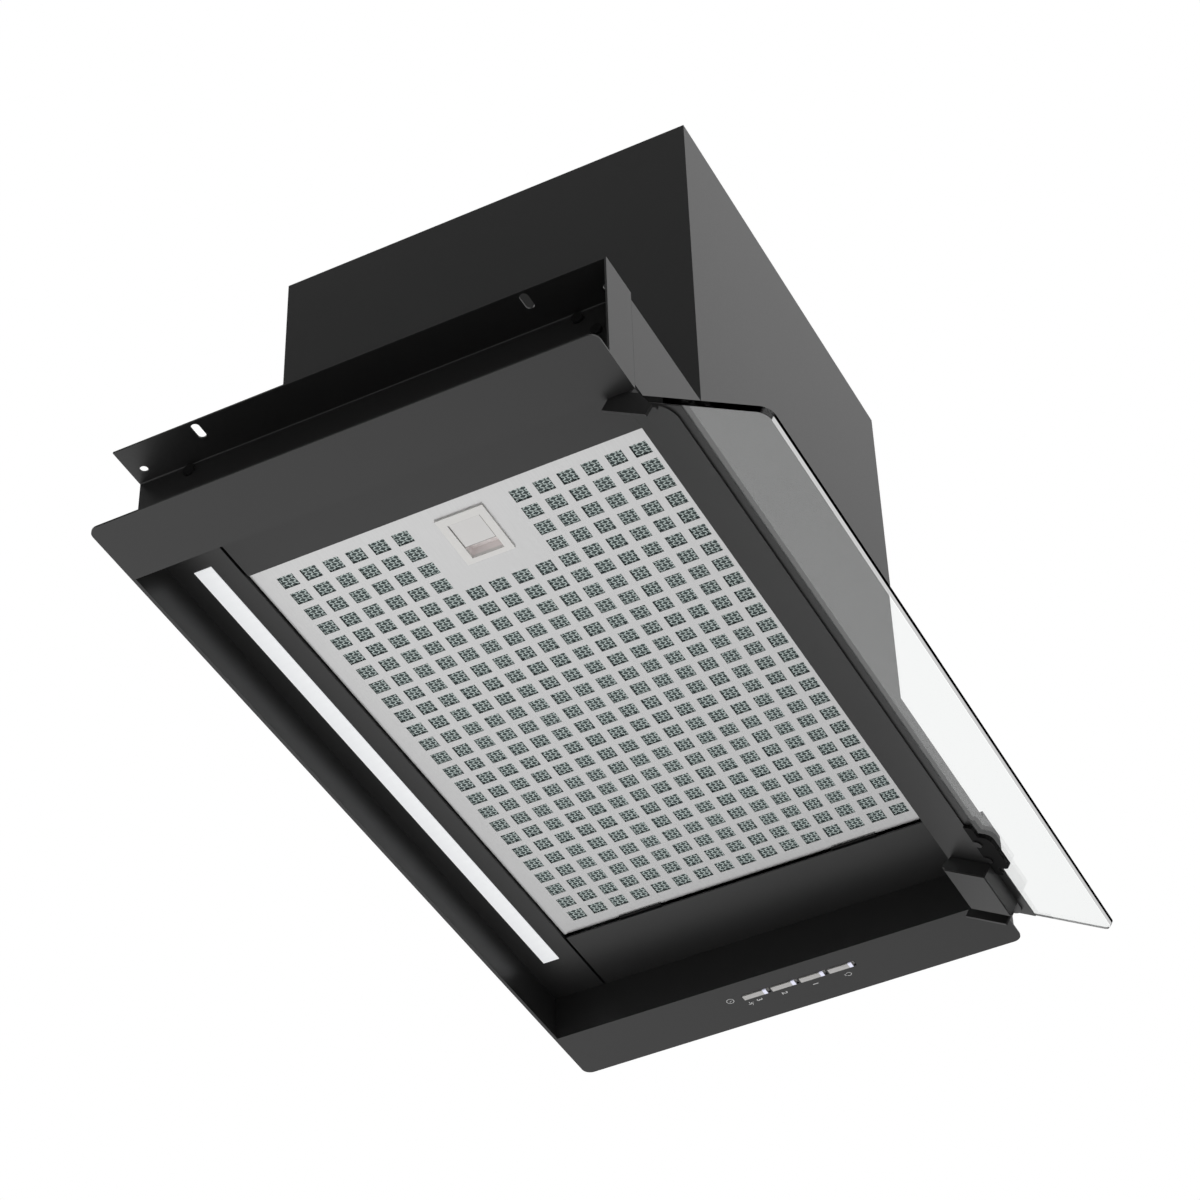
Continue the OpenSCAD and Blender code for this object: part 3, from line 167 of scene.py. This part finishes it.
floor_z = -2.6
floor_half = 12
floor_mesh = bpy.data.meshes.new("studio_floor")
floor_mesh.from_pydata([(-floor_half, -floor_half, floor_z), (floor_half, -floor_half, floor_z),
                        (floor_half, floor_half, floor_z), (-floor_half, floor_half, floor_z)],
                       [], [(0, 1, 2, 3)])
studio_floor = put("studio_floor", floor_mesh)
pale = Finish("pale_floor")
# Painted light: the floor glows brightest round pool_x, pool_y and fades out between the two radii.
pool_x, pool_y = 0.6, 2.4
pool_inner, pool_outer = 0.6, 4.0
pool_strength = 0.8
floor_x, floor_y = pale.axes()[:2]
aside, beyond = floor_x - pool_x, floor_y - pool_y
away_squared = aside * aside + beyond * beyond
away = away_squared.maths("SQRT", away_squared)
pale.set(Base_Color=pale.noise(3).blend(grey(0.60), grey(0.64)), Roughness=0.8,
         Emission_Color=(1 - away.ramp(pool_inner, pool_outer)).blend(grey(0), grey(1)),
         Emission_Strength=pool_strength)
floor_mesh.materials.append(pale.material)

bpy.context.scene.view_settings.view_transform = "Standard"
surround = bpy.data.worlds.new("studio_surround")
surround.use_nodes = True
bpy.context.scene.world = surround
sky = Tone(surround.node_tree)
way = sky.node("ShaderNodeTexCoord", out="Generated")
left_front = ((-0.53, -0.85, 0.0), 1.5)
right_rear = ((0.45, 0.55, 0.70), 1.7)
overhead = ((0.0, -0.53, 0.85), 0.75)
light_edge = 0.45
glow = 0.0
for toward, strength in (left_front, right_rear, overhead):
    facing = sky.node("ShaderNodeVectorMath", {"operation": "DOT_PRODUCT"}, {0: way, 1: toward},
                      "Value")
    glow = facing.ramp(light_edge, 1.0) * strength + glow
rays = sky.node("ShaderNodeLightPath", out="Is Camera Ray")
through = Tone(surround.node_tree, rays.socket.node.outputs["Is Transmission Ray"])
seen = rays.maths("MAXIMUM", rays, through)
backdrop = surround.node_tree.nodes["Background"]
backdrop.inputs["Color"].default_value = grey(1)
surround.node_tree.links.new((seen + (1 - seen) * glow).socket, backdrop.inputs["Strength"])

# Frame: two side rails and the front and rear plates, folded from 1.2 mm steel sheet and coated
# with fine matt black powder, with a small bend where a rail's top wing leaves its end wall.
# Blackened pan head screws in the end walls hold them together.
def dress(finish, *nodes):
    """Gives CAD nodes their finish."""
    for name in nodes:
        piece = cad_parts[name]
        piece.data.materials.clear()
        piece.data.materials.append(finish.material)


def powder_coat(name, level, rough):
    """Powder coat: near black, with a faint drift of tone and the orange peel of baked powder."""
    coat = Finish(name)
    drift = coat.noise(9, 3)
    peel = coat.noise(1500, 2)
    tone = drift * 0.6 + peel * 0.4
    coat.set(Base_Color=tone.ramp(0.3, 0.7).blend(grey(level * 0.93), grey(level * 1.07)),
             Roughness=peel * 0.08 + rough)
    return coat.relief(peel, 0.12, 0.00008)


def piece_of(name, shape, finish):
    """Makes a piece of a worked mesh and gives it its finish."""
    piece = put(name, bpy.data.meshes.new(name))
    shape.to_mesh(piece.data)
    shape.free()
    piece.data.materials.append(finish.material)
    return piece


def close_between(shape, ends):
    """Joins two rings of corners into a closed solid."""
    corners = len(ends[0])
    for i in range(corners):
        j = (i + 1) % corners
        shape.faces.new((ends[0][i], ends[0][j], ends[1][j], ends[1][i]))
    shape.faces.new(ends[0])
    shape.faces.new(ends[1])
    bmesh.ops.recalc_face_normals(shape, faces=shape.faces)


MM = 0.001
coat_level = 0.013
coat_rough = 0.36
frame_coat = powder_coat("black_powder_coat", coat_level, coat_rough)
dress(frame_coat, "left_side_rail", "right_side_rail", "front_plate", "rear_plate")

wall_out = 254.5 * MM
wing_under = 73.3 * MM
bend_r = 0.9 * MM
bend_steps = 6
bend_bite = 0.05 * MM
tab_t, end_gap = 1.3 * MM, 0.1 * MM
rail_low, rail_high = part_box("left_side_rail")
bend_front, bend_rear = rail_low.y + tab_t, rail_high.y - end_gap
arc = [math.radians(90 * i / bend_steps) for i in range(bend_steps + 1)]
profile = [(wall_out - bend_bite, wing_under + bend_bite)]
profile += [(wall_out + bend_r * (1 - math.cos(a)), wing_under - bend_r * (1 - math.sin(a)))
            for a in arc]
bends = bmesh.new()
for side in (-1, 1):
    close_between(bends, [[bends.verts.new((side * x, y, z)) for x, z in profile]
                          for y in (bend_front, bend_rear)])
wing_bends = piece_of("wing_bends", bends, frame_coat)
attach(wing_bends, "hood")

screw_black = powder_coat("blackened_screw", 0.02, 0.32)
screw_black.set(Metallic=0.6)
dress(screw_black, "frame_screws")

# Deck and lid: a tray of galvanised sheet between the rails carries the tall motor housing, which
# is folded from thin black coated sheet and closed by a lid with six screws.
spangled = Finish("galvanised_sheet")
spangle = spangled.place.node("ShaderNodeTexVoronoi", {}, {"Vector": spangled.place, "Scale": 95},
                              "Color")
spangle_level = spangle.node("ShaderNodeRGBToBW", {}, {"Color": spangle})
spangled.set(Base_Color=spangle_level.ramp(0.2, 0.8).blend(grey(0.42, -0.02), grey(0.56, -0.02)),
             Roughness=spangle_level * 0.2 + 0.32, Metallic=0.85)
dress(spangled, "top_deck", "motor_bracket", "control_box", "control_box_cover")
housing_coat = powder_coat("housing_powder_coat", coat_level, coat_rough)
dress(housing_coat, "motor_housing", "housing_lid")
zinc = Finish("zinc_plated_steel")
zinc.set(Base_Color=zinc.noise(400).blend(grey(0.50), grey(0.62)), Metallic=1.0,
         Roughness=zinc.noise(900) * 0.15 + 0.24)
dress(zinc, "lid_screws", "damper_pin", "motor_shaft", "motor_screws", "hinge_pins",
      "motor_bearings")

# Duct collar: moulded black plastic on the lid, with two damper flaps on one steel pin.
# The flaps hang shut under their own weight.
def moulded(name, colour, rough, grain=0.3):
    """Moulded plastic: a spark-eroded texture, slightly uneven gloss."""
    plastic = Finish(name)
    spark = plastic.noise(2200, 3)
    plastic.set(Base_Color=plastic.noise(30).blend([c * 0.94 for c in colour[:3]] + [1],
                                                   [min(1, c * 1.06) for c in colour[:3]] + [1]),
                Roughness=spark * 0.12 + rough)
    return plastic.relief(spark, grain, 0.00005)


collar_plastic = moulded("black_plastic", grey(0.022), 0.42)
dress(collar_plastic, "duct_collar", "damper_flap_front", "damper_flap_rear", "mains_gland",
      "keypad_housing")

# Fan: a grey moulded scroll hangs under the lid, and a wheel with forty curved blades turns in it
# on the shaft of a motor that sits inside the wheel, held by a bracket on rubber bushes.
scroll_plastic = moulded("grey_plastic", grey(0.26), 0.45)
dress(scroll_plastic, "blower_scroll", "impeller")
cast = Finish("die_cast_aluminium")
cast_grain = cast.noise(700, 4)
cast.set(Base_Color=cast_grain.blend(grey(0.5), grey(0.62)), Metallic=0.9,
         Roughness=cast_grain * 0.2 + 0.35)
cast.relief(cast_grain, 0.25, 0.0001)
dress(cast, "motor_casing", "run_capacitor", "led_channel")
core = Finish("laminated_core")
lamination = core.place.node("ShaderNodeTexWave", {"bands_direction": "X"},
                         {"Vector": core.place, "Scale": 320, "Distortion": 0.2}, "Fac")
core.set(Base_Color=lamination.blend((0.30, 0.19, 0.09, 1), (0.42, 0.28, 0.14, 1)),
         Roughness=0.45, Metallic=0.5)
core.relief(lamination, 0.3, 0.0001)
dress(core, "motor_stator", "motor_rotor")
rubber = moulded("black_rubber", grey(0.018), 0.7)
dress(rubber, "rubber_bushes")

# Controls: a box of galvanised sheet on the deck holds the board, the capacitor and the terminals.
# The keypad sits on top of the right flange, over the buttons.
board = Finish("solder_mask")
tracks = board.place.node("ShaderNodeTexBrick", {}, {
    "Vector": board.place, "Scale": 160, "Mortar Size": 0.012, "Color1": grey(0),
    "Color2": grey(0.1), "Mortar": grey(1)}, "Fac")
board.set(Base_Color=tracks.blend((0.02, 0.14, 0.06, 1), (0.04, 0.24, 0.11, 1)), Roughness=0.3)
dress(board, "control_board", "keypad_board", "led_board")

# Ceiling: two sheets between the rails, powder coated as the frame is. The narrow rear one carries
# the light. The other goes round three sides of the filter, whose rear edge meets the narrow one.
ceiling_coat = powder_coat("ceiling_powder_coat", coat_level, coat_rough)
dress(ceiling_coat, "light_panel")


def node_shape(node):
    """A copy of a CAD node's mesh to work on, with its loose triangles joined."""
    shape = bmesh.new()
    shape.from_mesh(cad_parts[node].data)
    bmesh.ops.remove_doubles(shape, verts=shape.verts, dist=0.001 * MM)
    return shape


def cut_off(shape, place, way):
    """Takes away all that lies beyond a plane and closes the cut."""
    bmesh.ops.bisect_plane(shape, geom=shape.verts[:] + shape.edges[:] + shape.faces[:],
                           plane_co=place, plane_no=way, clear_outer=True)
    bmesh.ops.holes_fill(shape, edges=[e for e in shape.edges if e.is_boundary])
    bmesh.ops.triangulate(shape, faces=shape.faces)


def stand_in(name, shape, finish, node, body):
    """Makes the piece that stands for a CAD node."""
    piece = piece_of(name, shape, finish)
    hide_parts(node)
    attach(piece, body)


opening_rear = 116.35 * MM
past_opening = 0.85 * MM
near_enough = 0.01 * MM
sheet_shape = node_shape("filter_surround")
cut_off(sheet_shape, (0, opening_rear, 0), (0, 1, 0))
for v in sheet_shape.verts:
    if abs(v.co.y - opening_rear) < near_enough:
        v.co.y += past_opening
stand_in("surround_sheet", sheet_shape, ceiling_coat, "filter_surround", "hood")

# Light: an opal plastic bar, pressed through a slot in the light panel, under a strip of LEDs in
# an aluminium channel. It is switched on.
opal = Finish("opal_diffuser")
led_pitch = 7.54 * MM
wave_at_scale_1 = math.pi / 10
patch = opal.place.node("ShaderNodeTexWave", {"bands_direction": "X"},
                        {"Vector": opal.place, "Scale": wave_at_scale_1 / led_pitch,
                         "Distortion": 0.0}, "Fac")
opal.set(Base_Color=patch.blend(grey(0.50), grey(0.51)), Roughness=0.4,
         Emission_Color=patch.blend((0.90, 0.92, 0.94, 1), (0.92, 0.94, 0.96, 1)),
         Emission_Strength=0.58)
dress(opal, "led_diffuser")

# Filter: a sheet of satin stainless steel with 10 mm square perforations, a folded rim and two
# tongues at the button end, painted near black as painted shade. Behind it lie expanded aluminium
# foil, a thin near-black sheet that is painted shade in the foil's gaps, the folded mesh pack and a
# back plate.
satin = Finish("satin_steel")
brushing = satin.noise(1, 4, (60, 2600, 60))
satin_x, satin_z = satin.axes()[::2]
tongue_root, tongue_free, tongue_fade = 194.4 * MM, 196.1 * MM, 0.2 * MM
sheet_under, under_fade = 34.34 * MM, 0.04 * MM
below = 1 - satin_z.ramp(sheet_under - under_fade, sheet_under + under_fade)
# Painted shade: the satin turns near black on the tongues, past their root under the sheet and past
# their free edge.
root_painted_shade = satin_x.ramp(tongue_root - tongue_fade, tongue_root + tongue_fade) * below
tongue_painted_shade = root_painted_shade.maths("MAXIMUM", root_painted_shade,
                      satin_x.ramp(tongue_free - tongue_fade, tongue_free + tongue_fade))
bright = brushing.ramp(0.25, 0.75).blend(grey(0.58), grey(0.63))
satin.set(Base_Color=tongue_painted_shade.blend(bright, grey(0.02)), Metallic=1.0,
          Roughness=brushing * 0.12 + 0.34)
satin.relief(brushing, 0.10, 0.00004)
dress(satin, "filter_back_plate")

hole_pitch = 15 * MM
cad_hole_half = 5.5 * MM
hole_less = 0.45 * MM
hole_first_y = -124.15 * MM
hole_snap = 0.05 * MM
cad_rim_rear = 114.3 * MM
rim_further = 3.0 * MM
sheet_shape = node_shape("filter_plate")
for v in sheet_shape.verts:
    off_x = v.co.x - hole_pitch * round(v.co.x / hole_pitch)
    off_y = v.co.y - hole_first_y - hole_pitch * round((v.co.y - hole_first_y) / hole_pitch)
    if max(abs(abs(off_x) - cad_hole_half), abs(abs(off_y) - cad_hole_half)) < hole_snap:
        v.co.x -= math.copysign(hole_less, off_x)
        v.co.y -= math.copysign(hole_less, off_y)
    elif v.co.y > cad_rim_rear:
        v.co.y += rim_further
stand_in("perforated_sheet", sheet_shape, satin, "filter_plate", "filter")

foil = Finish("expanded_foil")
foil_grain = foil.noise(300, 2)
foil.set(Base_Color=foil_grain.blend((0.46, 0.54, 0.52, 1), (0.58, 0.66, 0.64, 1)), Metallic=0.4,
         Roughness=foil_grain * 0.2 + 0.38)
pack = Finish("folded_mesh_pack")
cells = pack.place.node("ShaderNodeTexVoronoi", {"feature": "DISTANCE_TO_EDGE"}, {
    "Vector": pack.place.node("ShaderNodeMapping", {}, {"Vector": pack.place,
                                                        "Scale": (1, 0.55, 1)}),
    "Scale": 360}, "Distance")
strands = 1 - cells.ramp(0.05, 0.16)
pack.set(Base_Color=strands.blend((0.10, 0.155, 0.155, 1), (0.34, 0.43, 0.42, 1)),
         Roughness=0.55, Metallic=0.3)
pack.relief(strands, 0.6, 0.0003)
dress(pack, "filter_mesh")

short_way = 3.85 * MM
long_way = 5.6 * MM
strand_w = 1.2 * MM
foil_t = 0.12 * MM
foil_edge = 1.6 * MM
foil_above = 2.11 * MM
rim_t = 0.8 * MM
cup_room = 1 * MM
plate_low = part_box("filter_plate")[0]
pack_low, pack_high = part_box("filter_mesh")
cup_low, cup_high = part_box("latch_frame")
foil_left, foil_right = pack_low.x + foil_edge, pack_high.x - foil_edge
foil_front, foil_rear = plate_low.y + rim_t + foil_edge, pack_high.y - foil_edge
notch_right = cup_high.x + cup_room
notch_front, notch_rear = cup_low.y - cup_room, cup_high.y + cup_room


def geometry_tree(name, *numbers):
    """An empty Geometry Nodes tree with named number inputs, and its maker of nodes."""
    tree = bpy.data.node_groups.new(name, "GeometryNodeTree")
    tree.interface.new_socket("Geometry", in_out="INPUT", socket_type="NodeSocketGeometry")
    tree.interface.new_socket("Geometry", in_out="OUTPUT", socket_type="NodeSocketGeometry")
    for number in numbers:
        kind = "NodeSocketInt" if number.endswith("count") else "NodeSocketFloat"
        tree.interface.new_socket(number, in_out="INPUT", socket_type=kind)
    entry = tree.nodes.new("NodeGroupInput")
    return tree, Tone(tree), {s.name: Tone(tree, s) for s in entry.outputs if s.name}


def grown(name, tree, result, finish, values):
    """Ends a tree in real geometry with its finish, and makes a piece with a plain mesh of it."""
    real = result.node("GeometryNodeRealizeInstances", {}, {"Geometry": result})
    painted = real.node("GeometryNodeSetMaterial", {},
                        {"Geometry": real, "Material": finish.material})
    exit_node = tree.nodes.new("NodeGroupOutput")
    tree.links.new(painted.socket, exit_node.inputs[0])
    holder = put(name, bpy.data.meshes.new(name))
    modifier = holder.modifiers.new(name, "NODES")
    modifier.node_group = tree
    for item in tree.interface.items_tree:
        if item.in_out == "INPUT" and item.name in values:
            modifier[item.identifier] = values[item.name]
    bpy.context.view_layer.update()
    seen_now = holder.evaluated_get(bpy.context.evaluated_depsgraph_get())
    plain = bpy.data.meshes.new_from_object(seen_now)
    holder.modifiers.remove(modifier)
    holder.data = plain
    return holder


foil_tree, make, given = geometry_tree(
    "expanded_foil", "row_count", "bond_count", "short_way", "long_way", "strand_w", "foil_t",
    "left", "front", "height", "notch_right", "notch_front", "notch_rear")
bonds = make.node("GeometryNodeCurvePrimitiveLine", {"mode": "POINTS"}, {
    "Start": (0, 0, 0),
    "End": make.node("ShaderNodeCombineXYZ", {},
                     {"Y": given["bond_count"] * given["long_way"] * 0.5})})
bonds = make.node("GeometryNodeResampleCurve", {}, {"Curve": bonds,
                                                    "Count": given["bond_count"] + 1})
index = make.node("GeometryNodeInputIndex")
swing = (index.maths("MODULO", index, 2) - 0.5) * given["short_way"] * 0.5
zigzag = make.node("GeometryNodeSetPosition", {}, {
    "Geometry": bonds, "Offset": make.node("ShaderNodeCombineXYZ", {}, {"X": swing})})
section = make.node("GeometryNodeCurvePrimitiveQuadrilateral", {}, {"Width": given["strand_w"],
                                                                    "Height": given["foil_t"]})
strand = make.node("GeometryNodeCurveToMesh", {}, {"Curve": zigzag, "Profile Curve": section,
                                                   "Fill Caps": True})
rows = make.node("GeometryNodeMeshLine", {"mode": "OFFSET"}, {
    "Count": given["row_count"],
    "Start Location": make.node("ShaderNodeCombineXYZ", {}, {
        "X": given["left"], "Y": given["front"], "Z": given["height"]}),
    "Offset": make.node("ShaderNodeCombineXYZ", {}, {"X": given["short_way"] * 0.5})})
shifted = make.node("GeometryNodeSetPosition", {}, {
    "Geometry": rows, "Offset": make.node("ShaderNodeCombineXYZ", {}, {
        "Y": index.maths("MODULO", index, 2) * given["long_way"] * 0.5})})
spread = make.node("GeometryNodeInstanceOnPoints", {}, {"Points": shifted, "Instance": strand})
spread = make.node("GeometryNodeRealizeInstances", {}, {"Geometry": spread})
at = make.node("GeometryNodeInputPosition")
at_x = make.node("ShaderNodeSeparateXYZ", {}, {"Vector": at}, "X")
at_y = Tone(foil_tree, at_x.socket.node.outputs["Y"])
over_cup = at_x.maths("LESS_THAN", at_x, given["notch_right"]) \
    * at_y.maths("GREATER_THAN", at_y, given["notch_front"]) \
    * at_y.maths("LESS_THAN", at_y, given["notch_rear"])
cleared = make.node("GeometryNodeDeleteGeometry", {"domain": "FACE"},
                    {"Geometry": spread, "Selection": over_cup})
expanded_foil = grown("expanded_foil", foil_tree, cleared, foil, {
    "row_count": int((foil_right - foil_left) / (short_way / 2)),
    "bond_count": int((foil_rear - foil_front) / (long_way / 2)) - 1,
    "short_way": short_way, "long_way": long_way, "strand_w": strand_w, "foil_t": foil_t,
    "left": foil_left, "front": foil_front, "height": plate_low.z + foil_above,
    "notch_right": notch_right, "notch_front": notch_front, "notch_rear": notch_rear})
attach(expanded_foil, "filter")

# Painted shade: a thin near-black sheet under the pack stands for the dark depths seen through the
# foil's gaps.
shade = Finish("painted_shade_sheet")
shade.set(Base_Color=shade.noise(420, 3).ramp(0.3, 0.7).blend((0.028, 0.043, 0.044, 1),
                                                            (0.05, 0.072, 0.072, 1)),
          Roughness=0.6, Metallic=0.2)
layer_below, layer_t = 0.08 * MM, 0.05 * MM
layer_z = pack_low.z - layer_below
border = [(foil_left, foil_front), (foil_right, foil_front), (foil_right, foil_rear),
          (foil_left, foil_rear), (foil_left, notch_rear), (notch_right, notch_rear),
          (notch_right, notch_front), (foil_left, notch_front)]
layer_shape = bmesh.new()
close_between(layer_shape, [[layer_shape.verts.new((x, y, z)) for x, y in border]
                            for z in (layer_z, layer_z + layer_t)])
painted_shade_piece = piece_of("painted_shade_sheet", layer_shape, shade)
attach(painted_shade_piece, "filter")

# Latch: a pale moulded frame clipped into the filter, with a sliding catch that a finger pushes
# along a recess in it. The recess is painted lighter as painted light against its shade, and the
# catch's rim is painted dark as painted shade for the thin gap round it.
pale_tone = (0.80, 0.79, 0.77, 1)
catch_tone, gap_painted_shade = (0.76, 0.75, 0.74, 1), (0.30, 0.29, 0.28, 1)
recess_painted_light = (1.0, 0.94, 0.93, 1)
pale_rough, pale_grain = 0.38, 0.15
latch_plastic = moulded("pale_plastic", pale_tone, pale_rough, pale_grain)
dress(latch_plastic, "terminal_block")
cup_plastic = moulded("pale_cup_plastic", pale_tone, pale_rough, pale_grain)
# Painted light: deeper into the recess the frame turns lighter and pinker, against the shade that
# falls there.
lip_z, recess_z = 34.8 * MM, 36.5 * MM
cup_z = cup_plastic.axes()[2]
cup_plastic.set(Base_Color=cup_z.ramp(lip_z, recess_z).blend(pale_tone, recess_painted_light))
dress(cup_plastic, "latch_frame")
slide_low, slide_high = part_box("latch_slider")
catch_plastic = moulded("pale_catch_plastic", catch_tone, pale_rough, pale_grain)
catch_x, catch_y = catch_plastic.axes()[:2]
# Painted shade: a thin dark band round the catch's edge stands for the shade in the gap beside it.
gap_w, gap_fade = 0.3 * MM, 0.05 * MM
pad_left, pad_right = -177.2 * MM, -157.45 * MM
inside = catch_y.band(slide_low.y + gap_w, slide_high.y - gap_w, gap_fade) \
    * catch_x.band(pad_left, pad_right, gap_fade)
catch_plastic.set(Base_Color=inside.blend(gap_painted_shade, catch_tone))
dress(catch_plastic, "latch_slider")

# Buttons: four satin silver bars through the right flange, each with a lit end towards the front.
# Their marks are printed on the flange beside them: a clock, 3 with a fan mark, 2, 1 and a lamp.
silver = Finish("satin_silver_button")
button_y = silver.axes()[1]
first_y = 18.9 * MM
pitch = 20.1 * MM
half_bar = 8.35 * MM
lit_end, lit_fade = 2.5 * MM, 0.3 * MM
from_front = button_y - (first_y - half_bar)
along = from_front.maths("WRAP", from_front, 0, pitch)
lit = 1 - along.ramp(lit_end - lit_fade, lit_end + lit_fade)
rub = silver.noise(500, 3)
silver.set(Base_Color=lit.blend(rub.blend(grey(0.46, 0.02), grey(0.56, 0.02)),
                                (0.75, 0.76, 0.9, 1)),
           Metallic=(1 - lit) * 0.4, Roughness=rub * 0.15 + 0.35,
           Emission_Color=lit.blend(grey(0), (0.80, 0.80, 0.95, 1)), Emission_Strength=0.25)
dress(silver, "button_1", "button_2", "button_3", "button_4")

ink = Finish("pale_grey_print")
ink.set(Base_Color=ink.noise(900).blend(grey(0.60), grey(0.70)), Roughness=0.6)
print_t = 0.04 * MM
print_z = -0.05 * MM
figure_size = 5.4 * MM
figure_bolder = 0.05 * MM
line_w = 0.42 * MM
line_flat = 0.12


def printed(name, shape):
    """Turns a flat curve or text into a thin printed mark under the right flange."""
    drawn = put(name, shape)
    bpy.context.view_layer.update()
    plain = bpy.data.meshes.new_from_object(drawn)
    bpy.data.objects.remove(drawn)
    solid = bmesh.new()
    solid.from_mesh(plain)
    bpy.data.meshes.remove(plain)
    bmesh.ops.remove_doubles(solid, verts=solid.verts, dist=0.001 * MM)
    bmesh.ops.recalc_face_normals(solid, faces=solid.faces)
    return piece_of(name, solid, ink)


def numeral(figure, x, y):
    """A printed number, with its middle at a place given in millimetres."""
    shape = bpy.data.curves.new("numeral_" + figure, "FONT")
    shape.body = figure
    shape.size = figure_size
    shape.align_x = "CENTER"
    shape.align_y = "CENTER"
    shape.extrude = print_t / 2
    shape.offset = figure_bolder
    piece = printed("numeral_" + figure, shape)
    piece.data.transform(Matrix(((1, 0, 0, x * MM), (0, -1, 0, y * MM), (0, 0, -1, print_z),
                                 (0, 0, 0, 1))))
    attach(piece, "hood")


def outline_mark(name, x, y, lines):
    """A mark of thin printed lines, drawn in millimetres with X right and Y towards the front."""
    shape = bpy.data.curves.new(name, "CURVE")
    shape.dimensions = "3D"
    shape.bevel_depth = line_w / 2
    shape.bevel_resolution = 1
    shape.use_fill_caps = True
    for points, closed in lines:
        spline = shape.splines.new("POLY")
        spline.points.add(len(points) - 1)
        spline.use_cyclic_u = closed
        for point, (px, py) in zip(spline.points, points):
            point.co = (px * MM, py * MM, 0, 1)
    piece = printed(name, shape)
    piece.data.transform(Matrix.Translation((x * MM, y * MM, print_z)) @
                         Matrix.Diagonal((1, -1, -line_flat, 1)))
    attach(piece, "hood")


def ring(r, start=0, end=360, steps=24, x=0, y=0):
    """Points along a circle or an arc of it, with its middle at x, y and its ends in degrees."""
    turn = [math.radians(start + (end - start) * i / steps) for i in range(steps + 1)]
    return [(x + r * math.cos(a), y + r * math.sin(a)) for a in turn]


for figure, x, y in (("3", 277.5, 18.9), ("2", 278.6, 1.5), ("1", 279.2, -20.1)):
    numeral(figure, x, y)
outline_mark("clock_mark", 270.2, 36.4,
             [(ring(2.4)[:-1], True), ([(0, 1.4), (0, 0), (1.0, -0.6)], False)])
outline_mark("fan_mark", 278.8, 25.3,
             [(ring(0.9, a + 20, a + 200, 8, 1.1 * math.cos(math.radians(a)),
                    1.1 * math.sin(math.radians(a))), False) for a in (0, 90, 180, 270)])
outline_mark("lamp_mark", 279.8, -42.8, [
    (ring(1.7, -50, 230, 18, 0, 0.6), False),
    ([(-0.75, -0.9), (-0.75, -2.0), (0.75, -2.0), (0.75, -0.9)], False)])

# Visor: a 4 mm pane of clear glass on a coated strip and cover, its lower front arris lit by a
# painted highlight that glows. It turns on two folded hinge blocks, of which the left is a narrow
# end plate and the right has a wide box under the cover. A black moulded clamp holds the strip at
# the button end with two screws.
axis_y, axis_z = -149 * MM, 5 * MM
axis_over_glass = 6.7 * MM
visor_tilt = math.radians(31.2)
clear = Finish("clear_glass")
glass_y, glass_z = clear.axes()[1:]
outward = (glass_y - axis_y) * math.cos(visor_tilt) + (glass_z - axis_z) * math.sin(visor_tilt)
upward = (glass_z - axis_z) * math.cos(visor_tilt) - (glass_y - axis_y) * math.sin(visor_tilt)
front_edge, edge_fade = -96.4 * MM, 0.1 * MM
arris_top, arris_fade = -4.45 * MM, 0.15 * MM
# Painted highlight: a glow along the pane's lower front arris, in place of the light it would
# catch.
arris_painted_highlight = (1 - outward.ramp(front_edge - edge_fade, front_edge + edge_fade)) \
    * (1 - upward.ramp(arris_top - arris_fade, arris_top + arris_fade))
clear.set(Base_Color=clear.noise(6).blend((0.965, 0.980, 0.975, 1), (0.985, 0.995, 0.990, 1)),
          Roughness=0.0, IOR=1.5, Transmission_Weight=1.0,
          Emission_Color=arris_painted_highlight.blend(grey(0), grey(1)), Emission_Strength=0.6)
dress(clear, "visor_glass")
cover_coat = powder_coat("visor_powder_coat", coat_level, coat_rough)
dress(cover_coat, "visor_strip", "visor_cover")
clamp_plastic = moulded("black_clamp_plastic", grey(0.005), 0.6)
clamp_plastic.set(Specular_IOR_Level=0.08)
dress(clamp_plastic, "visor_clamp")
dress(screw_black, "clamp_screws")

end_plate_w = 4 * MM
block_shape = node_shape("left_hinge_block")
end_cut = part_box("left_hinge_block")[0].x + end_plate_w
cut_off(block_shape, (end_cut, 0, 0), (1, 0, 0))
stand_in("left_end_hinge", block_shape, cover_coat, "left_hinge_block", "visor")

box_x, box_along, box_up = (190, 235), (-36, -6.4), (-12, -1.6)
box_edge_r = 0.6 * MM
on_visor = Matrix.Translation((0, axis_y, axis_z)) @ Matrix.Rotation(visor_tilt, 4, "X") \
    @ Matrix.Translation((0, 0, -axis_over_glass))
block_shape = node_shape("right_hinge_block")
corners = [block_shape.verts.new(on_visor @ Vector((x * MM, y * MM, z * MM)))
           for z in box_up for y in box_along for x in box_x]
for face in ((0, 2, 3, 1), (4, 5, 7, 6), (0, 1, 5, 4), (2, 6, 7, 3), (0, 4, 6, 2), (1, 3, 7, 5)):
    block_shape.faces.new([corners[i] for i in face])
box_edges = list(dict.fromkeys(e for v in corners for e in v.link_edges))
bmesh.ops.bevel(block_shape, geom=box_edges, offset=box_edge_r, segments=2, affect="EDGES")
stand_in("right_end_hinge", block_shape, cover_coat, "right_hinge_block", "visor")
